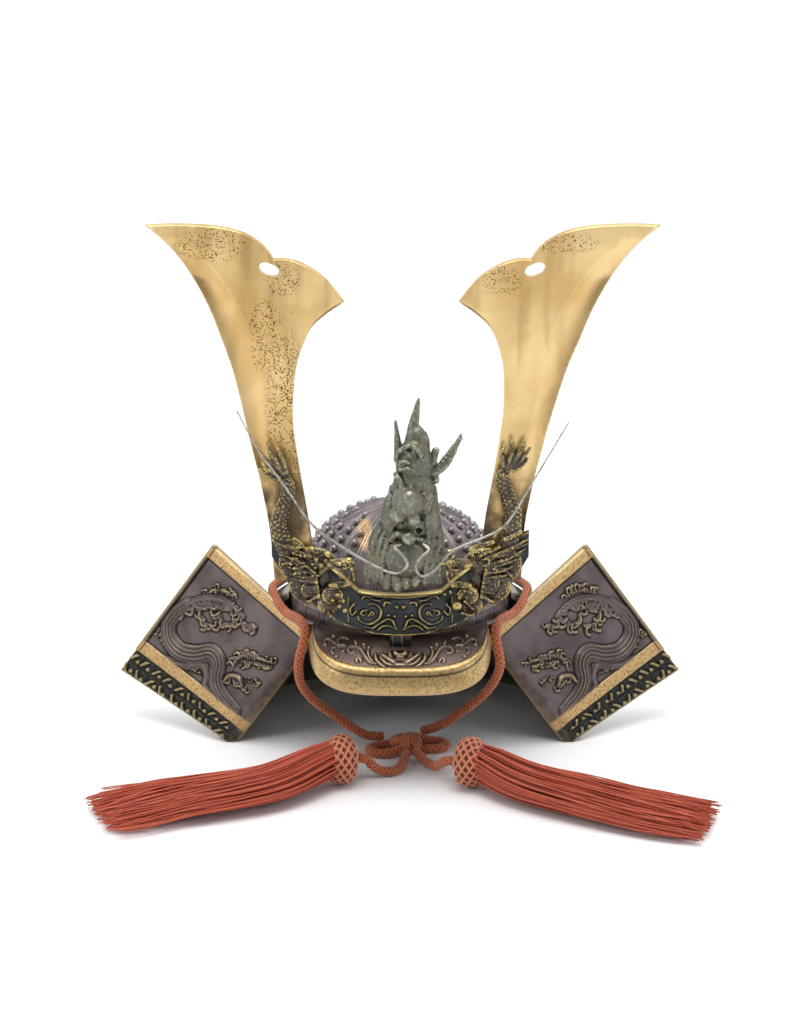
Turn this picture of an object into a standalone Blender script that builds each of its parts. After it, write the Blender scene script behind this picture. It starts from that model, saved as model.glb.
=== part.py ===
"""A cast-metal display kabuto: studded bowl, neck guard, two turnbacks, visor, horn base with
dragon heads, two horns, dragon crest with wire whiskers, and a knotted chin cord with tassels.

Metres, +Z up, the front faces -Y, and the helmet stands on Z = 0.
"""
import math
from collections import namedtuple

import bmesh
import bpy
from mathutils import Matrix, Vector

# Fits
GAP = 0.0003
SEAT_LIFT = 0.0003

# Bowl
BOWL_RADIUS = 0.0600
MM = BOWL_RADIUS / 60.0  # routes drawn in millimetres grow with the bowl
BOWL_WALL = 0.0028
RIM_HEIGHT = 0.0720
RIB_COUNT = 12
RIB_RISE = 0.0014
STUD_ROWS = 8
RIB_BREAKS = (0.0, 0.10, 0.50, 0.90)
CROWN_ANGLE = math.radians(82.0)
STUD_RISE = 0.0016

# Neck guard
GUARD_WALL = 0.0030
GUARD_LIFT = 0.0070
SHOULDER_WIDTH = 0.0180
SHOULDER_DROP = 0.0095
GUARD_FLARE = 0.0230
LAME_COUNT = 4
LAME_STEP = 0.0014
GUARD_COLUMNS = 40
GUARD_RIB_RISE = 0.0009

# Turnbacks, the plates folded back from the guard's two front ends
TURNBACK_WIDTH = 0.0791
TURNBACK_INNER = 0.0745
TURNBACK_OUTER = 0.0925
TURNBACK_WALL = 0.0040
TURNBACK_SWEEP = math.radians(41.0)
TURNBACK_RISE = math.radians(29.7)
BAND_WIDTH = 0.0062
BAND_RISE = 0.0010
BORDER_WIDTH = 0.0125
BORDER_COLUMNS = 8
WAVE_RISE = 0.0016

# Visor
VISOR_HALF_WIDTH = 0.775 * BOWL_RADIUS
VISOR_REACH = 0.0290
VISOR_DROP = 0.0150
VISOR_WALL = 0.0028
BEAD_RISE = 0.0022
SKIRT_HEIGHT = 0.0095
SLOT_WIDTH = 0.0125
SLOT_DEPTH = 0.0060

# Horn base
BASE_WALL = 0.0046
BASE_CLEARANCE = 0.0012
BASE_RADIUS = BOWL_RADIUS + RIB_RISE + BASE_CLEARANCE + BASE_WALL
BASE_HEIGHT = 0.0225
BASE_HALF_SPAN = 0.0680
BASE_TURN = math.radians(40.0)
POST_WIDTH = 0.0070

# Horns
HORN_HEIGHT = 0.1900
HORN_SPAN = 0.0850
HORN_WALL = 0.0036
HORN_FOOT_HEIGHT = 0.1000
FLUTE_DEPTH = 0.0035

# Crest and whiskers
CREST_HEIGHT = 0.1060
CREST_HALF_WIDTH = 0.0185
CREST_DEPTH = 0.0180
WHISKER_ROOT = 0.0009
WHISKER_TIP = 0.0005

# Chin cord and tassels
CORD_RADIUS = 0.0025
TASSEL_HEAD_RADIUS = 0.0135
TASSEL_HEAD_LENGTH = 0.0160

Look = namedtuple("Look", "colour roughness metallic")
BRONZE = Look((0.14, 0.11, 0.11), 0.45, 0.9)
BRASS = Look((0.72, 0.53, 0.24), 0.32, 1.0)
DARK_IRON = Look((0.07, 0.075, 0.08), 0.5, 0.9)
VERDIGRIS = Look((0.17, 0.17, 0.14), 0.55, 0.85)
STEEL = Look((0.32, 0.31, 0.30), 0.35, 1.0)
SILK = Look((0.48, 0.13, 0.05), 0.75, 0.0)

for stale in list(bpy.data.objects):
    bpy.data.objects.remove(stale, do_unlink=True)


# Building blocks: a shape is a pair of point and face lists until it is placed as an object

def loft(loops, capped=True):
    """Faces between successive closed loops of equal length, with an end cap at each end."""
    count = len(loops[0])
    points = [Vector(p) for loop in loops for p in loop]
    faces = []
    for row in range(len(loops) - 1):
        for i in range(count):
            j = (i + 1) % count
            a, b = row * count, (row + 1) * count
            faces.append((a + i, a + j, b + j, b + i))
    if capped:
        faces.append(tuple(range(count))[::-1])
        faces.append(tuple((len(loops) - 1) * count + i for i in range(count)))
    return points, faces


def smooth(route, count):
    """Even points along a Catmull-Rom curve through the route."""
    pts = [Vector(p) for p in route]
    pts = [2 * pts[0] - pts[1]] + pts + [2 * pts[-1] - pts[-2]]
    dense = []
    for k in range(1, len(pts) - 2):
        a, b, c, d = pts[k - 1:k + 3]
        for step in range(24):
            t = step / 24
            dense.append(0.5 * (2 * b + (c - a) * t + (2 * a - 5 * b + 4 * c - d) * t ** 2
                                + (3 * b - a - 3 * c + d) * t ** 3))
    dense.append(pts[-2])
    along = [0.0]
    for p, q in zip(dense, dense[1:]):
        along.append(along[-1] + (q - p).length)
    even, k = [], 0
    for i in range(count):
        want = along[-1] * i / (count - 1)
        while k < len(along) - 2 and along[k + 1] < want:
            k += 1
        share = (want - along[k]) / max(along[k + 1] - along[k], 1e-9)
        even.append(dense[k].lerp(dense[k + 1], min(share, 1.0)))
    return even


def tube(route, root, tip, sides=6, rows=None, flat=1.0, up=Vector((0, -1, 0))):
    """A tapering round or flattened bar along a route; flat squashes it towards up."""
    line = smooth(route, rows or len(route))
    loops = []
    for i, p in enumerate(line):
        ahead = (line[min(i + 1, len(line) - 1)] - line[max(i - 1, 0)]).normalized()
        side = ahead.cross(up).normalized()
        lift = side.cross(ahead).normalized()
        radius = root + (tip - root) * i / (len(line) - 1)
        loops.append([p + side * radius * math.cos(math.tau * k / sides)
                      + lift * radius * flat * math.sin(math.tau * k / sides) for k in range(sides)])
    return loft(loops)


def lump(centre, radii):
    """A plain rounded mass."""
    bm = bmesh.new()
    bmesh.ops.create_icosphere(bm, subdivisions=1, radius=1.0)
    points = [Vector(centre) + Vector([v.co[k] * radii[k] for k in range(3)]) for v in bm.verts]
    bm.verts.index_update()
    faces = [tuple(v.index for v in f.verts) for f in bm.faces]
    bm.free()
    return points, faces


def mirrored(shape):
    return [Vector((-p.x, p.y, p.z)) for p in shape[0]], [f[::-1] for f in shape[1]]


def material(name, look):
    mat = bpy.data.materials.new(name)
    mat.use_nodes = True
    shader = mat.node_tree.nodes["Principled BSDF"]
    shader.inputs["Base Color"].default_value = (*look.colour, 1.0)
    shader.inputs["Roughness"].default_value = look.roughness
    shader.inputs["Metallic"].default_value = look.metallic
    return mat


def place(name, shapes, look):
    """One object from one or more shapes, with its faces pointing out."""
    points, faces = [], []
    for shape_points, shape_faces in shapes:
        start = len(points)
        points += shape_points
        faces += [tuple(start + i for i in face) for face in shape_faces]
    mesh = bpy.data.meshes.new(name)
    mesh.from_pydata([tuple(p) for p in points], [], faces)
    bm = bmesh.new()
    bm.from_mesh(mesh)
    bmesh.ops.recalc_face_normals(bm, faces=bm.faces)
    bm.to_mesh(mesh)
    bm.free()
    obj = bpy.data.objects.new(name, mesh)
    bpy.context.scene.collection.objects.link(obj)
    obj.data.materials.append(material(name, look))
    return obj


def combine(obj, shapes, operation):
    """Join shapes to an object, or cut them out of it, one after another and for good.

    The manifold solver keeps the result closed; the exact one left open edges here.
    """
    tools = [place("tool", [shape], STEEL) for shape in shapes]
    for tool in tools:
        cut = obj.modifiers.new(operation.lower(), "BOOLEAN")
        cut.operation = operation
        cut.solver = "MANIFOLD"
        cut.object = tool
    bpy.context.view_layer.update()
    solid = obj.evaluated_get(bpy.context.evaluated_depsgraph_get())
    mesh = bpy.data.meshes.new_from_object(solid)
    look = obj.data.materials[0]
    obj.modifiers.clear()
    obj.data = mesh
    mesh.materials.clear()
    mesh.materials.append(look)
    for tool in tools:
        bpy.data.objects.remove(tool, do_unlink=True)
    return obj


def ring_point(radius, azimuth, height):
    return Vector((radius * math.cos(azimuth), radius * math.sin(azimuth), height))


# Bowl

def bowl():
    """A hemispherical shell: each sector has a sharp raised rib and two columns of studs."""
    breaks = RIB_BREAKS
    columns = RIB_COUNT * len(breaks)
    loops = []
    for row in range(STUD_ROWS + 1):
        angle = CROWN_ANGLE * row / STUD_ROWS
        loop = []
        for c in range(columns):
            azimuth = math.tau * (c // len(breaks) + breaks[c % len(breaks)]) / RIB_COUNT
            radius = BOWL_RADIUS + (RIB_RISE if c % len(breaks) == 0 else 0.0)
            loop.append(ring_point(radius * math.cos(angle), azimuth, RIM_HEIGHT + radius * math.sin(angle)))
        loops.append(loop)
    inner_rows = 4
    inside = BOWL_RADIUS - BOWL_WALL
    inner = []
    for row in range(inner_rows + 1):
        angle = CROWN_ANGLE * (1 - row / inner_rows)
        inner.append([ring_point(inside * math.cos(angle), math.tau * (c // len(breaks)
                      + breaks[c % len(breaks)]) / RIB_COUNT, RIM_HEIGHT + inside * math.sin(angle))
                      for c in range(columns)])
    outer_shape = loft(loops, capped=False)
    inner_shape = loft(inner, capped=False)
    start = len(outer_shape[0])
    points = outer_shape[0] + inner_shape[0]
    faces = outer_shape[1] + [tuple(start + i for i in f) for f in inner_shape[1]]
    last = start + inner_rows * columns
    for c in range(columns):
        d = (c + 1) % columns
        faces.append((c, d, last + d, last + c))
    crown = STUD_ROWS * columns
    faces.append(tuple(crown + c for c in range(columns)))
    faces.append(tuple(start + c for c in range(columns))[::-1])
    obj = place("bowl", [(points, faces)], BRONZE)
    bm = bmesh.new()
    bm.from_mesh(obj.data)
    bm.faces.ensure_lookup_table()
    studded = [bm.faces[row * columns + c] for row in range(STUD_ROWS) for c in range(columns)
               if c % len(breaks) in (1, 2) and row < STUD_ROWS - 1]
    bmesh.ops.inset_individual(bm, faces=studded, thickness=STUD_RISE * 0.8, depth=STUD_RISE)
    bm.to_mesh(obj.data)
    bm.free()


# Turnbacks

FOLD_TOP = Vector((-(BOWL_RADIUS - 0.0071), -0.41 * BOWL_RADIUS, RIM_HEIGHT - 0.0099))
PLATE_U = Vector((-math.cos(TURNBACK_RISE) * math.cos(TURNBACK_SWEEP),
                  math.cos(TURNBACK_RISE) * math.sin(TURNBACK_SWEEP), math.sin(TURNBACK_RISE)))
GUARD_HEM_RADIUS = BOWL_RADIUS + SHOULDER_WIDTH + GUARD_FLARE


def fold_direction():
    """Down the fold, square to the plate's top edge, meeting the floor below the guard's hem."""
    foot = Vector((-0.94 * GUARD_HEM_RADIUS, FOLD_TOP.y, 0.0))
    down = foot - FOLD_TOP
    return (down - down.dot(PLATE_U) * PLATE_U).normalized()


PLATE_V = fold_direction()
PLATE_OUT = PLATE_V.cross(PLATE_U).normalized()
if PLATE_OUT.y > 0:
    PLATE_OUT.negate()
FOLD_LENGTH = min(TURNBACK_INNER, (FOLD_TOP.z - TURNBACK_WALL * abs(PLATE_OUT.z) - SEAT_LIFT)
                  / -PLATE_V.z)


def on_plate(across, down, out=0.0):
    """A point of the left plate: across from the fold, down from the top edge, out of its face."""
    return FOLD_TOP + across * PLATE_U + down * PLATE_V + out * PLATE_OUT


def plate_edge(across, inset=0.0):
    """How far down the lower edge lies; it falls away towards the outer edge."""
    share = across / TURNBACK_WIDTH
    return FOLD_LENGTH + (TURNBACK_OUTER - FOLD_LENGTH) * share - inset


def plate_patch(corners, rise, bed=0.001):
    """A raised patch of the plate through four (across, down) corners."""
    return loft([[on_plate(a, d, -bed) for a, d in corners], [on_plate(a, d, rise) for a, d in corners]])


def plate_ridge(route, width, rows, rise=WAVE_RISE):
    """A cast ridge along a route in shares of the plate's width and inner height."""
    points = [on_plate(a * TURNBACK_WIDTH, d * FOLD_LENGTH) for a, d in route]
    return tube(points, width, width * 0.55, sides=4, rows=rows, flat=rise / width, up=PLATE_OUT)


def turnback_shapes():
    width, wall = TURNBACK_WIDTH, TURNBACK_WALL
    slab = loft([
        [on_plate(0, 0, -wall), on_plate(0, 0), on_plate(0, FOLD_LENGTH), on_plate(0, FOLD_LENGTH, -wall)],
        [on_plate(width / 2, 0, -wall), on_plate(width / 2, 0), on_plate(width / 2, plate_edge(width / 2)),
         on_plate(width / 2, plate_edge(width / 2), -wall)],
        [on_plate(width, 0, -wall), on_plate(width, 0), on_plate(width, TURNBACK_OUTER),
         on_plate(width, TURNBACK_OUTER, -wall)]])
    edge = 0.0006
    far = width - edge
    above = BORDER_WIDTH + BAND_WIDTH
    shapes = [
        plate_patch([(edge, edge), (far, edge), (far, BAND_WIDTH), (edge, BAND_WIDTH)], BAND_RISE),
        plate_patch([(edge, plate_edge(edge, above)), (far, plate_edge(far, above)),
                     (far, plate_edge(far, BORDER_WIDTH)), (edge, plate_edge(edge, BORDER_WIDTH))],
                    BAND_RISE),
        plate_patch([(far - 0.0018, 0.5 * BAND_WIDTH), (far - 0.0003, 0.5 * BAND_WIDTH),
                     (far - 0.0003, plate_edge(far, 0.8 * above)),
                     (far - 0.0018, plate_edge(far, 0.8 * above))], 0.8 * BAND_RISE, 0.0014)]
    for column in range(BORDER_COLUMNS):
        centre = width * (column + 0.5) / BORDER_COLUMNS
        half = 0.28 * width / BORDER_COLUMNS
        for line in (0.70, 0.26):
            down = plate_edge(centre, BORDER_WIDTH * line)
            corners = [(centre - half, down - half), (centre + half, down - half),
                       (centre + half, down + half), (centre - half, down + half)]
            low, high = plate_patch(corners, 0.0)[0][:4], [on_plate(centre + (a - centre) * 0.4,
                        down + (d - down) * 0.4, 0.0013) for a, d in corners]
            shapes.append(loft([low, high]))
    for route, ridge_width, rows in WAVE_RIDGES:
        shapes.append(plate_ridge(route, ridge_width * WAVE_RISE, rows))
    return slab, shapes


# Wave relief: route as shares of (plate width, inner height), ridge width in wave rises, rows
WAVE_RIDGES = [
    ([(0.90, 0.58), (0.90, 0.69), (0.82, 0.77), (0.70, 0.78), (0.58, 0.71), (0.50, 0.61), (0.40, 0.62),
      (0.34, 0.73), (0.23, 0.78), (0.06, 0.79)], 1.5, 10),
    ([(0.94, 0.62), (0.94, 0.74), (0.83, 0.83), (0.69, 0.84), (0.57, 0.77), (0.49, 0.68), (0.42, 0.69),
      (0.37, 0.79)], 1.4, 8),
    ([(0.86, 0.55), (0.84, 0.66), (0.77, 0.72), (0.66, 0.71), (0.57, 0.63), (0.49, 0.54), (0.38, 0.56),
      (0.29, 0.70), (0.16, 0.73)], 1.4, 9),
    ([(0.89, 0.57), (0.85, 0.44), (0.81, 0.32), (0.75, 0.23), (0.65, 0.18), (0.56, 0.18)], 2.0, 5),
    ([(0.72, 0.52), (0.76, 0.42), (0.70, 0.33)], 1.6, 4),
    ([(0.55, 0.43), (0.62, 0.36), (0.60, 0.25)], 1.6, 4),
    ([(0.40, 0.33), (0.49, 0.28), (0.52, 0.18)], 1.6, 4),
    ([(0.30, 0.50), (0.29, 0.42), (0.23, 0.38), (0.14, 0.36)], 1.7, 4),
    ([(0.27, 0.66), (0.24, 0.60), (0.16, 0.60)], 1.5, 4),
]


def turnbacks():
    slab, shapes = turnback_shapes()
    left = place("turnback_left", [slab], BRONZE)
    combine(left, shapes, "UNION")
    right = place("turnback_right", [mirrored(slab)], BRONZE)
    combine(right, [mirrored(s) for s in shapes], "UNION")


# Neck guard

def guard_start(radius, height, front):
    """The azimuth below the X axis where a ring of the guard meets the back of the plate."""
    along = PLATE_OUT.dot(FOLD_TOP) - TURNBACK_WALL - GAP - PLATE_OUT.z * height
    reach = math.hypot(PLATE_OUT.x, PLATE_OUT.y) * radius
    facing = math.atan2(-PLATE_OUT.y, -PLATE_OUT.x)
    meet = facing - math.acos(max(-1.0, min(1.0, along / reach)))
    return min(meet, math.asin(min(1.0, front / radius)))


def neck_guard():
    """A shoulder round the bowl's foot, then overlapping lames with fine radial ribs."""
    seat = BOWL_RADIUS + RIB_RISE + GAP
    top = RIM_HEIGHT + GUARD_LIFT
    shoulder, shoulder_z = BOWL_RADIUS + SHOULDER_WIDTH, top - SHOULDER_DROP
    Row = namedtuple("Row", "radius height rib front")
    rows = [Row(seat, top, 0, 0.0), Row(seat + GUARD_WALL, top, 0, 0.0),
            Row(shoulder, shoulder_z, 1, -0.05 * BOWL_RADIUS)]
    for lame in range(LAME_COUNT):
        low = (lame + 1) / LAME_COUNT
        rows.append(Row(shoulder + GUARD_FLARE * low, shoulder_z * (1 - low), 1, 1.0))
        if lame < LAME_COUNT - 1:
            rows.append(Row(shoulder + GUARD_FLARE * low - LAME_STEP, shoulder_z * (1 - low), 0, 1.0))
    hem = rows[-1]
    rows.append(Row(hem.radius - GUARD_WALL, 0.0, 0, 1.0))
    rows.append(Row(shoulder - GUARD_WALL - LAME_STEP, shoulder_z - GUARD_WALL, 0,
                    -0.05 * BOWL_RADIUS))
    rows.append(Row(seat, top - GUARD_WALL, 0, 0.0))
    loops = []
    for column in range(GUARD_COLUMNS + 1):
        share = column / GUARD_COLUMNS
        loop = []
        for row in rows:
            start = guard_start(row.radius, row.height, row.front)
            azimuth = -start + (math.pi + 2 * start) * share
            rise = GUARD_RIB_RISE if row.rib and column % 2 else 0.0
            loop.append(ring_point(row.radius + rise, azimuth, row.height))
        loops.append(loop)
    place("neck_guard", [loft(loops)], VERDIGRIS)


# Visor

def visor():
    """A dished peak with a bead and a falling skirt, slotted for the horn base's post."""
    columns = 18
    back_angle = math.radians(49.0)
    back_radius = BOWL_RADIUS + RIB_RISE + GAP
    back_z = RIM_HEIGHT + 0.0035
    round_off = 3.4
    side_y = -0.80 * BOWL_RADIUS
    front_y = -(BOWL_RADIUS + VISOR_REACH)
    loops = []
    for column in range(columns + 1):
        s = 2 * column / columns - 1
        facing = back_angle * s
        back = Vector((back_radius * math.sin(facing), -back_radius * math.cos(facing), back_z))
        turn = 0.5 * math.pi * s
        x = math.copysign(abs(math.sin(turn)) ** (2 / round_off), s) * VISOR_HALF_WIDTH
        forward = abs(math.cos(turn)) ** (2 / round_off)
        edge = Vector((x, side_y + (front_y - side_y) * forward, back_z - VISOR_DROP * forward ** 1.4))
        out = Vector((edge.x, edge.y - 0.5 * side_y, 0)).normalized()
        inner = back.lerp(edge, 0.80)
        under = Vector((0, 0, -VISOR_WALL))
        loops.append([
            back, back.lerp(edge, 0.45) + Vector((0, 0, 0.0012)), inner, back.lerp(edge, 0.84)
            + Vector((0, 0, BEAD_RISE)), edge + Vector((0, 0, BEAD_RISE)) - out * 0.0012, edge,
            edge + out * 0.0022 - Vector((0, 0, SKIRT_HEIGHT)),
            edge + out * 0.0004 - Vector((0, 0, SKIRT_HEIGHT)), edge - out * 0.0018 + under,
            back.lerp(edge, 0.45) + under, back + under])
    obj = place("visor", [loft(loops)], BRONZE)
    scrolls = [visor_scroll(side, loops) for side in (-1, 1)]
    combine(obj, [curl for pair in scrolls for curl in pair], "UNION")
    y = -(BASE_RADIUS - BASE_WALL / 2)
    combine(obj, [box((-SLOT_WIDTH / 2, y - SLOT_DEPTH / 2, back_z - VISOR_DROP - SKIRT_HEIGHT),
                      (SLOT_WIDTH / 2, y + SLOT_DEPTH / 2, back_z + VISOR_DROP))], "DIFFERENCE")


def box(low, high):
    (x0, y0, z0), (x1, y1, z1) = low, high
    return loft([[(x0, y0, z0), (x1, y0, z0), (x1, y1, z0), (x0, y1, z0)],
                 [(x0, y0, z1), (x1, y0, z1), (x1, y1, z1), (x0, y1, z1)]])


def visor_scroll(side, loops):
    """Two low scrolls on one half of the visor, on a share of its width and depth."""
    middle = (len(loops) - 1) / 2

    def on_visor(share, depth):
        spot = middle + side * share * middle
        k = min(int(spot), len(loops) - 2)
        a, b = (loops[k][0].lerp(loops[k][2], depth), loops[k + 1][0].lerp(loops[k + 1][2], depth))
        return a.lerp(b, spot - k) + Vector((0, 0, 0.0006))

    curls = []
    for centre, depth in ((0.30, 0.62), (0.62, 0.60)):
        route = [on_visor(centre + 0.10 * (1 - t) * math.cos(1.5 * math.tau * t),
                          depth + 0.26 * (1 - t) * math.sin(1.5 * math.tau * t))
                 for t in (i / 7 for i in range(7))]
        curls.append(tube(route, 0.0012, 0.0008, sides=4, flat=0.9, up=Vector((0, 0, 1))))
    return curls


# Horn base and its dragon heads

def base_path(x):
    """The middle of the base's wall at a sideways place: round the bowl, then straight ears."""
    middle = BASE_RADIUS - BASE_WALL / 2
    bend = middle * math.sin(BASE_TURN)
    return -math.sqrt(middle ** 2 - min(abs(x), bend) ** 2)


EAR_Y = base_path(BASE_HALF_SPAN) - BASE_WALL / 2
EAR_BACK_Y = base_path(BASE_HALF_SPAN) + BASE_WALL / 2
BASE_FOOT = RIM_HEIGHT + 0.0037

# The base's lower and upper edges: sideways share, rise of the bottom, rise of the top,
# both in shares of its middle height
BaseRow = namedtuple("BaseRow", "side bottom top")
BASE_ROWS = [BaseRow(0.0, 0.0, 1.0), BaseRow(0.16, 0.02, 1.02), BaseRow(0.32, 0.11, 1.06),
             BaseRow(0.46, 0.20, 1.40), BaseRow(0.62, 0.40, 1.70), BaseRow(0.76, 0.70, 2.00),
             BaseRow(0.88, 1.10, 2.20), BaseRow(1.0, 1.75, 2.35)]

# The panel's scrolls: middle and spread in shares of the half span
PANEL_SCROLLS = ((0.136, 0.096), (0.281, 0.198))

# Masses of the left dragon head: place and radii in millimetres from the ear's outer face
Mass = namedtuple("Mass", "x y z rx ry rz")
HEAD_MASSES = [
    Mass(-50.0, -1.5, 99.5, 9.0, 5.0, 9.0), Mass(-43.5, -5.0, 112.0, 11.0, 6.5, 8.0),
    Mass(-30.5, -9.5, 114.0, 8.5, 6.0, 5.5), Mass(-30.5, -9.5, 104.5, 8.0, 4.5, 3.2),
    Mass(-25.5, -10.5, 117.0, 3.5, 4.5, 3.5), Mass(-33.5, -9.5, 93.5, 6.5, 5.0, 6.0)]
# Horns, mane and claws of the left head: (x, out of the ear, z) route in millimetres, root, tip
Strand = namedtuple("Strand", "route root tip")
HEAD_STRANDS = [
    Strand([(-42, 5.5, 117), (-52, 4.5, 121), (-63, 2.5, 128)], 3.2, 1.0),
    Strand([(-44, 5.5, 110), (-55, 4.0, 112), (-65, 1.5, 118)], 3.2, 1.0),
    Strand([(-46, 4.5, 104), (-56, 3.0, 104), (-62, 1.0, 108)], 3.0, 1.0),
    Strand([(-38, 7.5, 118), (-46, 6.5, 124), (-54, 3.5, 127)], 2.4, 0.9)]
# The scaled body and flame that climb the horn's face
BODY_STRANDS = [
    Strand([(-52, 1.0, 118), (-62, 0.5, 127), (-66, 0.2, 137), (-60, 0.2, 147), (-64, 0.2, 157)], 4.6, 3.2),
    Strand([(-64, 0.2, 154), (-70, 0.2, 163), (-72, 0.2, 175)], 3.0, 1.0),
    Strand([(-63, 0.2, 156), (-62, 0.2, 166), (-66, 0.2, 174)], 2.8, 1.0)]


def horn_base():
    thickness = BASE_WALL / 2
    sides = [-row.side for row in BASE_ROWS[::-1]] + [row.side for row in BASE_ROWS[1:]]
    rows = BASE_ROWS[::-1] + BASE_ROWS[1:]
    loops = []
    for side, row in zip(sides, rows):
        x = side * BASE_HALF_SPAN
        y = base_path(x)
        low, high = BASE_FOOT + row.bottom * BASE_HEIGHT, BASE_FOOT + row.top * BASE_HEIGHT
        loops.append([(x, y - thickness, low), (x, y - thickness - 0.0012, low + 0.0012),
                      (x, y - thickness - 0.0012, low + 0.0040), (x, y - thickness, low + 0.0052),
                      (x, y - thickness, high), (x, y + thickness, high), (x, y + thickness, low)])
    obj = place("horn_base", [loft(loops)], DARK_IRON)
    shapes = [box((-POST_WIDTH / 2, -BASE_RADIUS + GAP, BASE_FOOT - 0.0090),
                  (POST_WIDTH / 2, -BASE_RADIUS + BASE_WALL - GAP, BASE_FOOT + 0.0040))]
    half = []
    for m in HEAD_MASSES:
        half.append(lump((m.x * MM, EAR_Y + (m.y + 1.5) * MM, m.z * MM), (m.rx * MM, m.ry * MM, m.rz * MM)))
    for strand in HEAD_STRANDS + BODY_STRANDS:
        route = [(x * MM, EAR_Y - out * MM, z * MM) for x, out, z in strand.route]
        half.append(tube(route, strand.root * MM, strand.tip * MM, sides=5, flat=0.62))
    for middle, spread in PANEL_SCROLLS:
        route = []
        for t in (i / 6 for i in range(6)):
            x = -BASE_HALF_SPAN * (middle + spread * (1 - t) * math.cos(1.4 * math.tau * t))
            z = BASE_FOOT + BASE_HEIGHT * (0.58 + 0.22 * (1 - t) * math.sin(1.4 * math.tau * t))
            route.append((x, base_path(x) - thickness, z))
        half.append(tube(route, 0.0013, 0.0008, sides=4, flat=0.9))
    shapes += half + [mirrored(shape) for shape in half]
    combine(obj, shapes, "UNION")
    # Nothing of the relief reaches behind the ears, where the horns' flat faces stand
    behind = [box((0.040, EAR_BACK_Y, HORN_FOOT_HEIGHT - 0.02), (0.090, 0.0, 0.20))]
    combine(obj, behind + [mirrored(shape) for shape in behind], "DIFFERENCE")


# Horns

HORN_FRONT_Y = EAR_BACK_Y + GAP

# Outline rows of the left horn: height share, outer and inner edge in shares of the span from
# the helmet's middle, and where the flute's ridge lies from the outer edge
HornRow = namedtuple("HornRow", "up outer inner ridge")
HORN_ROWS = [HornRow(0.00, 0.790, 0.545, 0.30), HornRow(0.12, 0.800, 0.540, 0.30),
             HornRow(0.22, 0.815, 0.580, 0.30), HornRow(0.32, 0.885, 0.620, 0.30),
             HornRow(0.42, 0.935, 0.650, 0.30), HornRow(0.52, 0.990, 0.662, 0.32),
             HornRow(0.62, 1.045, 0.655, 0.36), HornRow(0.72, 1.115, 0.620, 0.40),
             HornRow(0.82, 1.215, 0.560, 0.40), HornRow(0.91, 1.350, 0.460, 0.36),
             HornRow(1.00, 1.542, 0.340, 0.34)]
# The top edge from the outer to the inner tip: share across, height above the straight line
TopRow = namedtuple("TopRow", "across lift")
TOP_ROWS = [TopRow(0.0, 0.0), TopRow(0.26, 0.0555), TopRow(0.47, 0.086), TopRow(0.60, 0.0765),
            TopRow(0.65, 0.046), TopRow(0.73, 0.062), TopRow(0.82, 0.072), TopRow(0.91, 0.050),
            TopRow(1.0, 0.0)]
INNER_TIP_DROP = 0.208
HOLE_UP, HOLE_SIDE = 0.877, 0.795


def horn_shape():
    """The left horn: a flat inner face and a hollow flute along its outer side."""
    loops = []
    wide = HORN_SPAN
    for row in HORN_ROWS:
        lift = max(0.0, (row.up - 0.62) / 0.38) ** 1.6
        outer = Vector((-row.outer * wide, 0, HORN_FOOT_HEIGHT + row.up * HORN_HEIGHT))
        inner = Vector((-row.inner * wide, 0, HORN_FOOT_HEIGHT + (row.up - INNER_TIP_DROP * lift)
                        * HORN_HEIGHT))
        front, back = [], []
        for top in TOP_ROWS:
            spot = outer.lerp(inner, top.across) + Vector((0, 0, top.lift * lift * HORN_HEIGHT))
            fall = max(0.0, 1 - top.across / row.ridge) * FLUTE_DEPTH * min(1.0, row.up * 3)
            spot.y = HORN_FRONT_Y + fall
            front.append(spot)
            back.append(spot + Vector((0, HORN_WALL, 0)))
        loops.append(front + back[::-1])
    return loft(loops)


def horns():
    centre = Vector((-HOLE_SIDE * HORN_SPAN, HORN_FRONT_Y, HORN_FOOT_HEIGHT + HOLE_UP * HORN_HEIGHT))
    outline = []
    for k in range(14):
        turn = math.tau * k / 14
        bean = 1 - 0.22 * math.cos(2 * turn) ** 2
        outline.append(Vector((0.0052 * bean * math.cos(turn), 0, 0.0030 * math.sin(turn))))
    cutter = loft([[centre + p + Vector((0, -0.01, 0)) for p in outline],
                   [centre + p + Vector((0, 0.02, 0)) for p in outline]])
    shape = horn_shape()
    combine(place("horn_left", [shape], BRASS), [cutter], "DIFFERENCE")
    combine(place("horn_right", [mirrored(shape)], BRASS), [mirrored(cutter)], "DIFFERENCE")


# Dragon crest and whiskers

# Rings of the crest: height share, sideways and forward shift in millimetres, half width and
# half depth as shares of the crest's own
CrestRow = namedtuple("CrestRow", "up side front wide deep")
CREST_ROWS = [CrestRow(0.00, 3.0, 0.0, 0.92, 0.22), CrestRow(0.07, 3.0, 2.0, 1.00, 0.34),
              CrestRow(0.16, 3.5, 4.0, 0.88, 0.48), CrestRow(0.25, 4.5, 6.0, 0.66, 0.60),
              CrestRow(0.33, 5.0, 8.0, 0.62, 0.72), CrestRow(0.41, 6.0, 9.5, 0.70, 0.86),
              CrestRow(0.49, 6.5, 9.5, 0.72, 0.90), CrestRow(0.57, 7.0, 7.0, 0.64, 0.72),
              CrestRow(0.66, 8.0, 4.0, 0.52, 0.50), CrestRow(0.76, 9.0, 2.5, 0.38, 0.34),
              CrestRow(0.87, 9.5, 1.5, 0.22, 0.20), CrestRow(1.00, 10.0, 1.0, 0.04, 0.05)]
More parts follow.
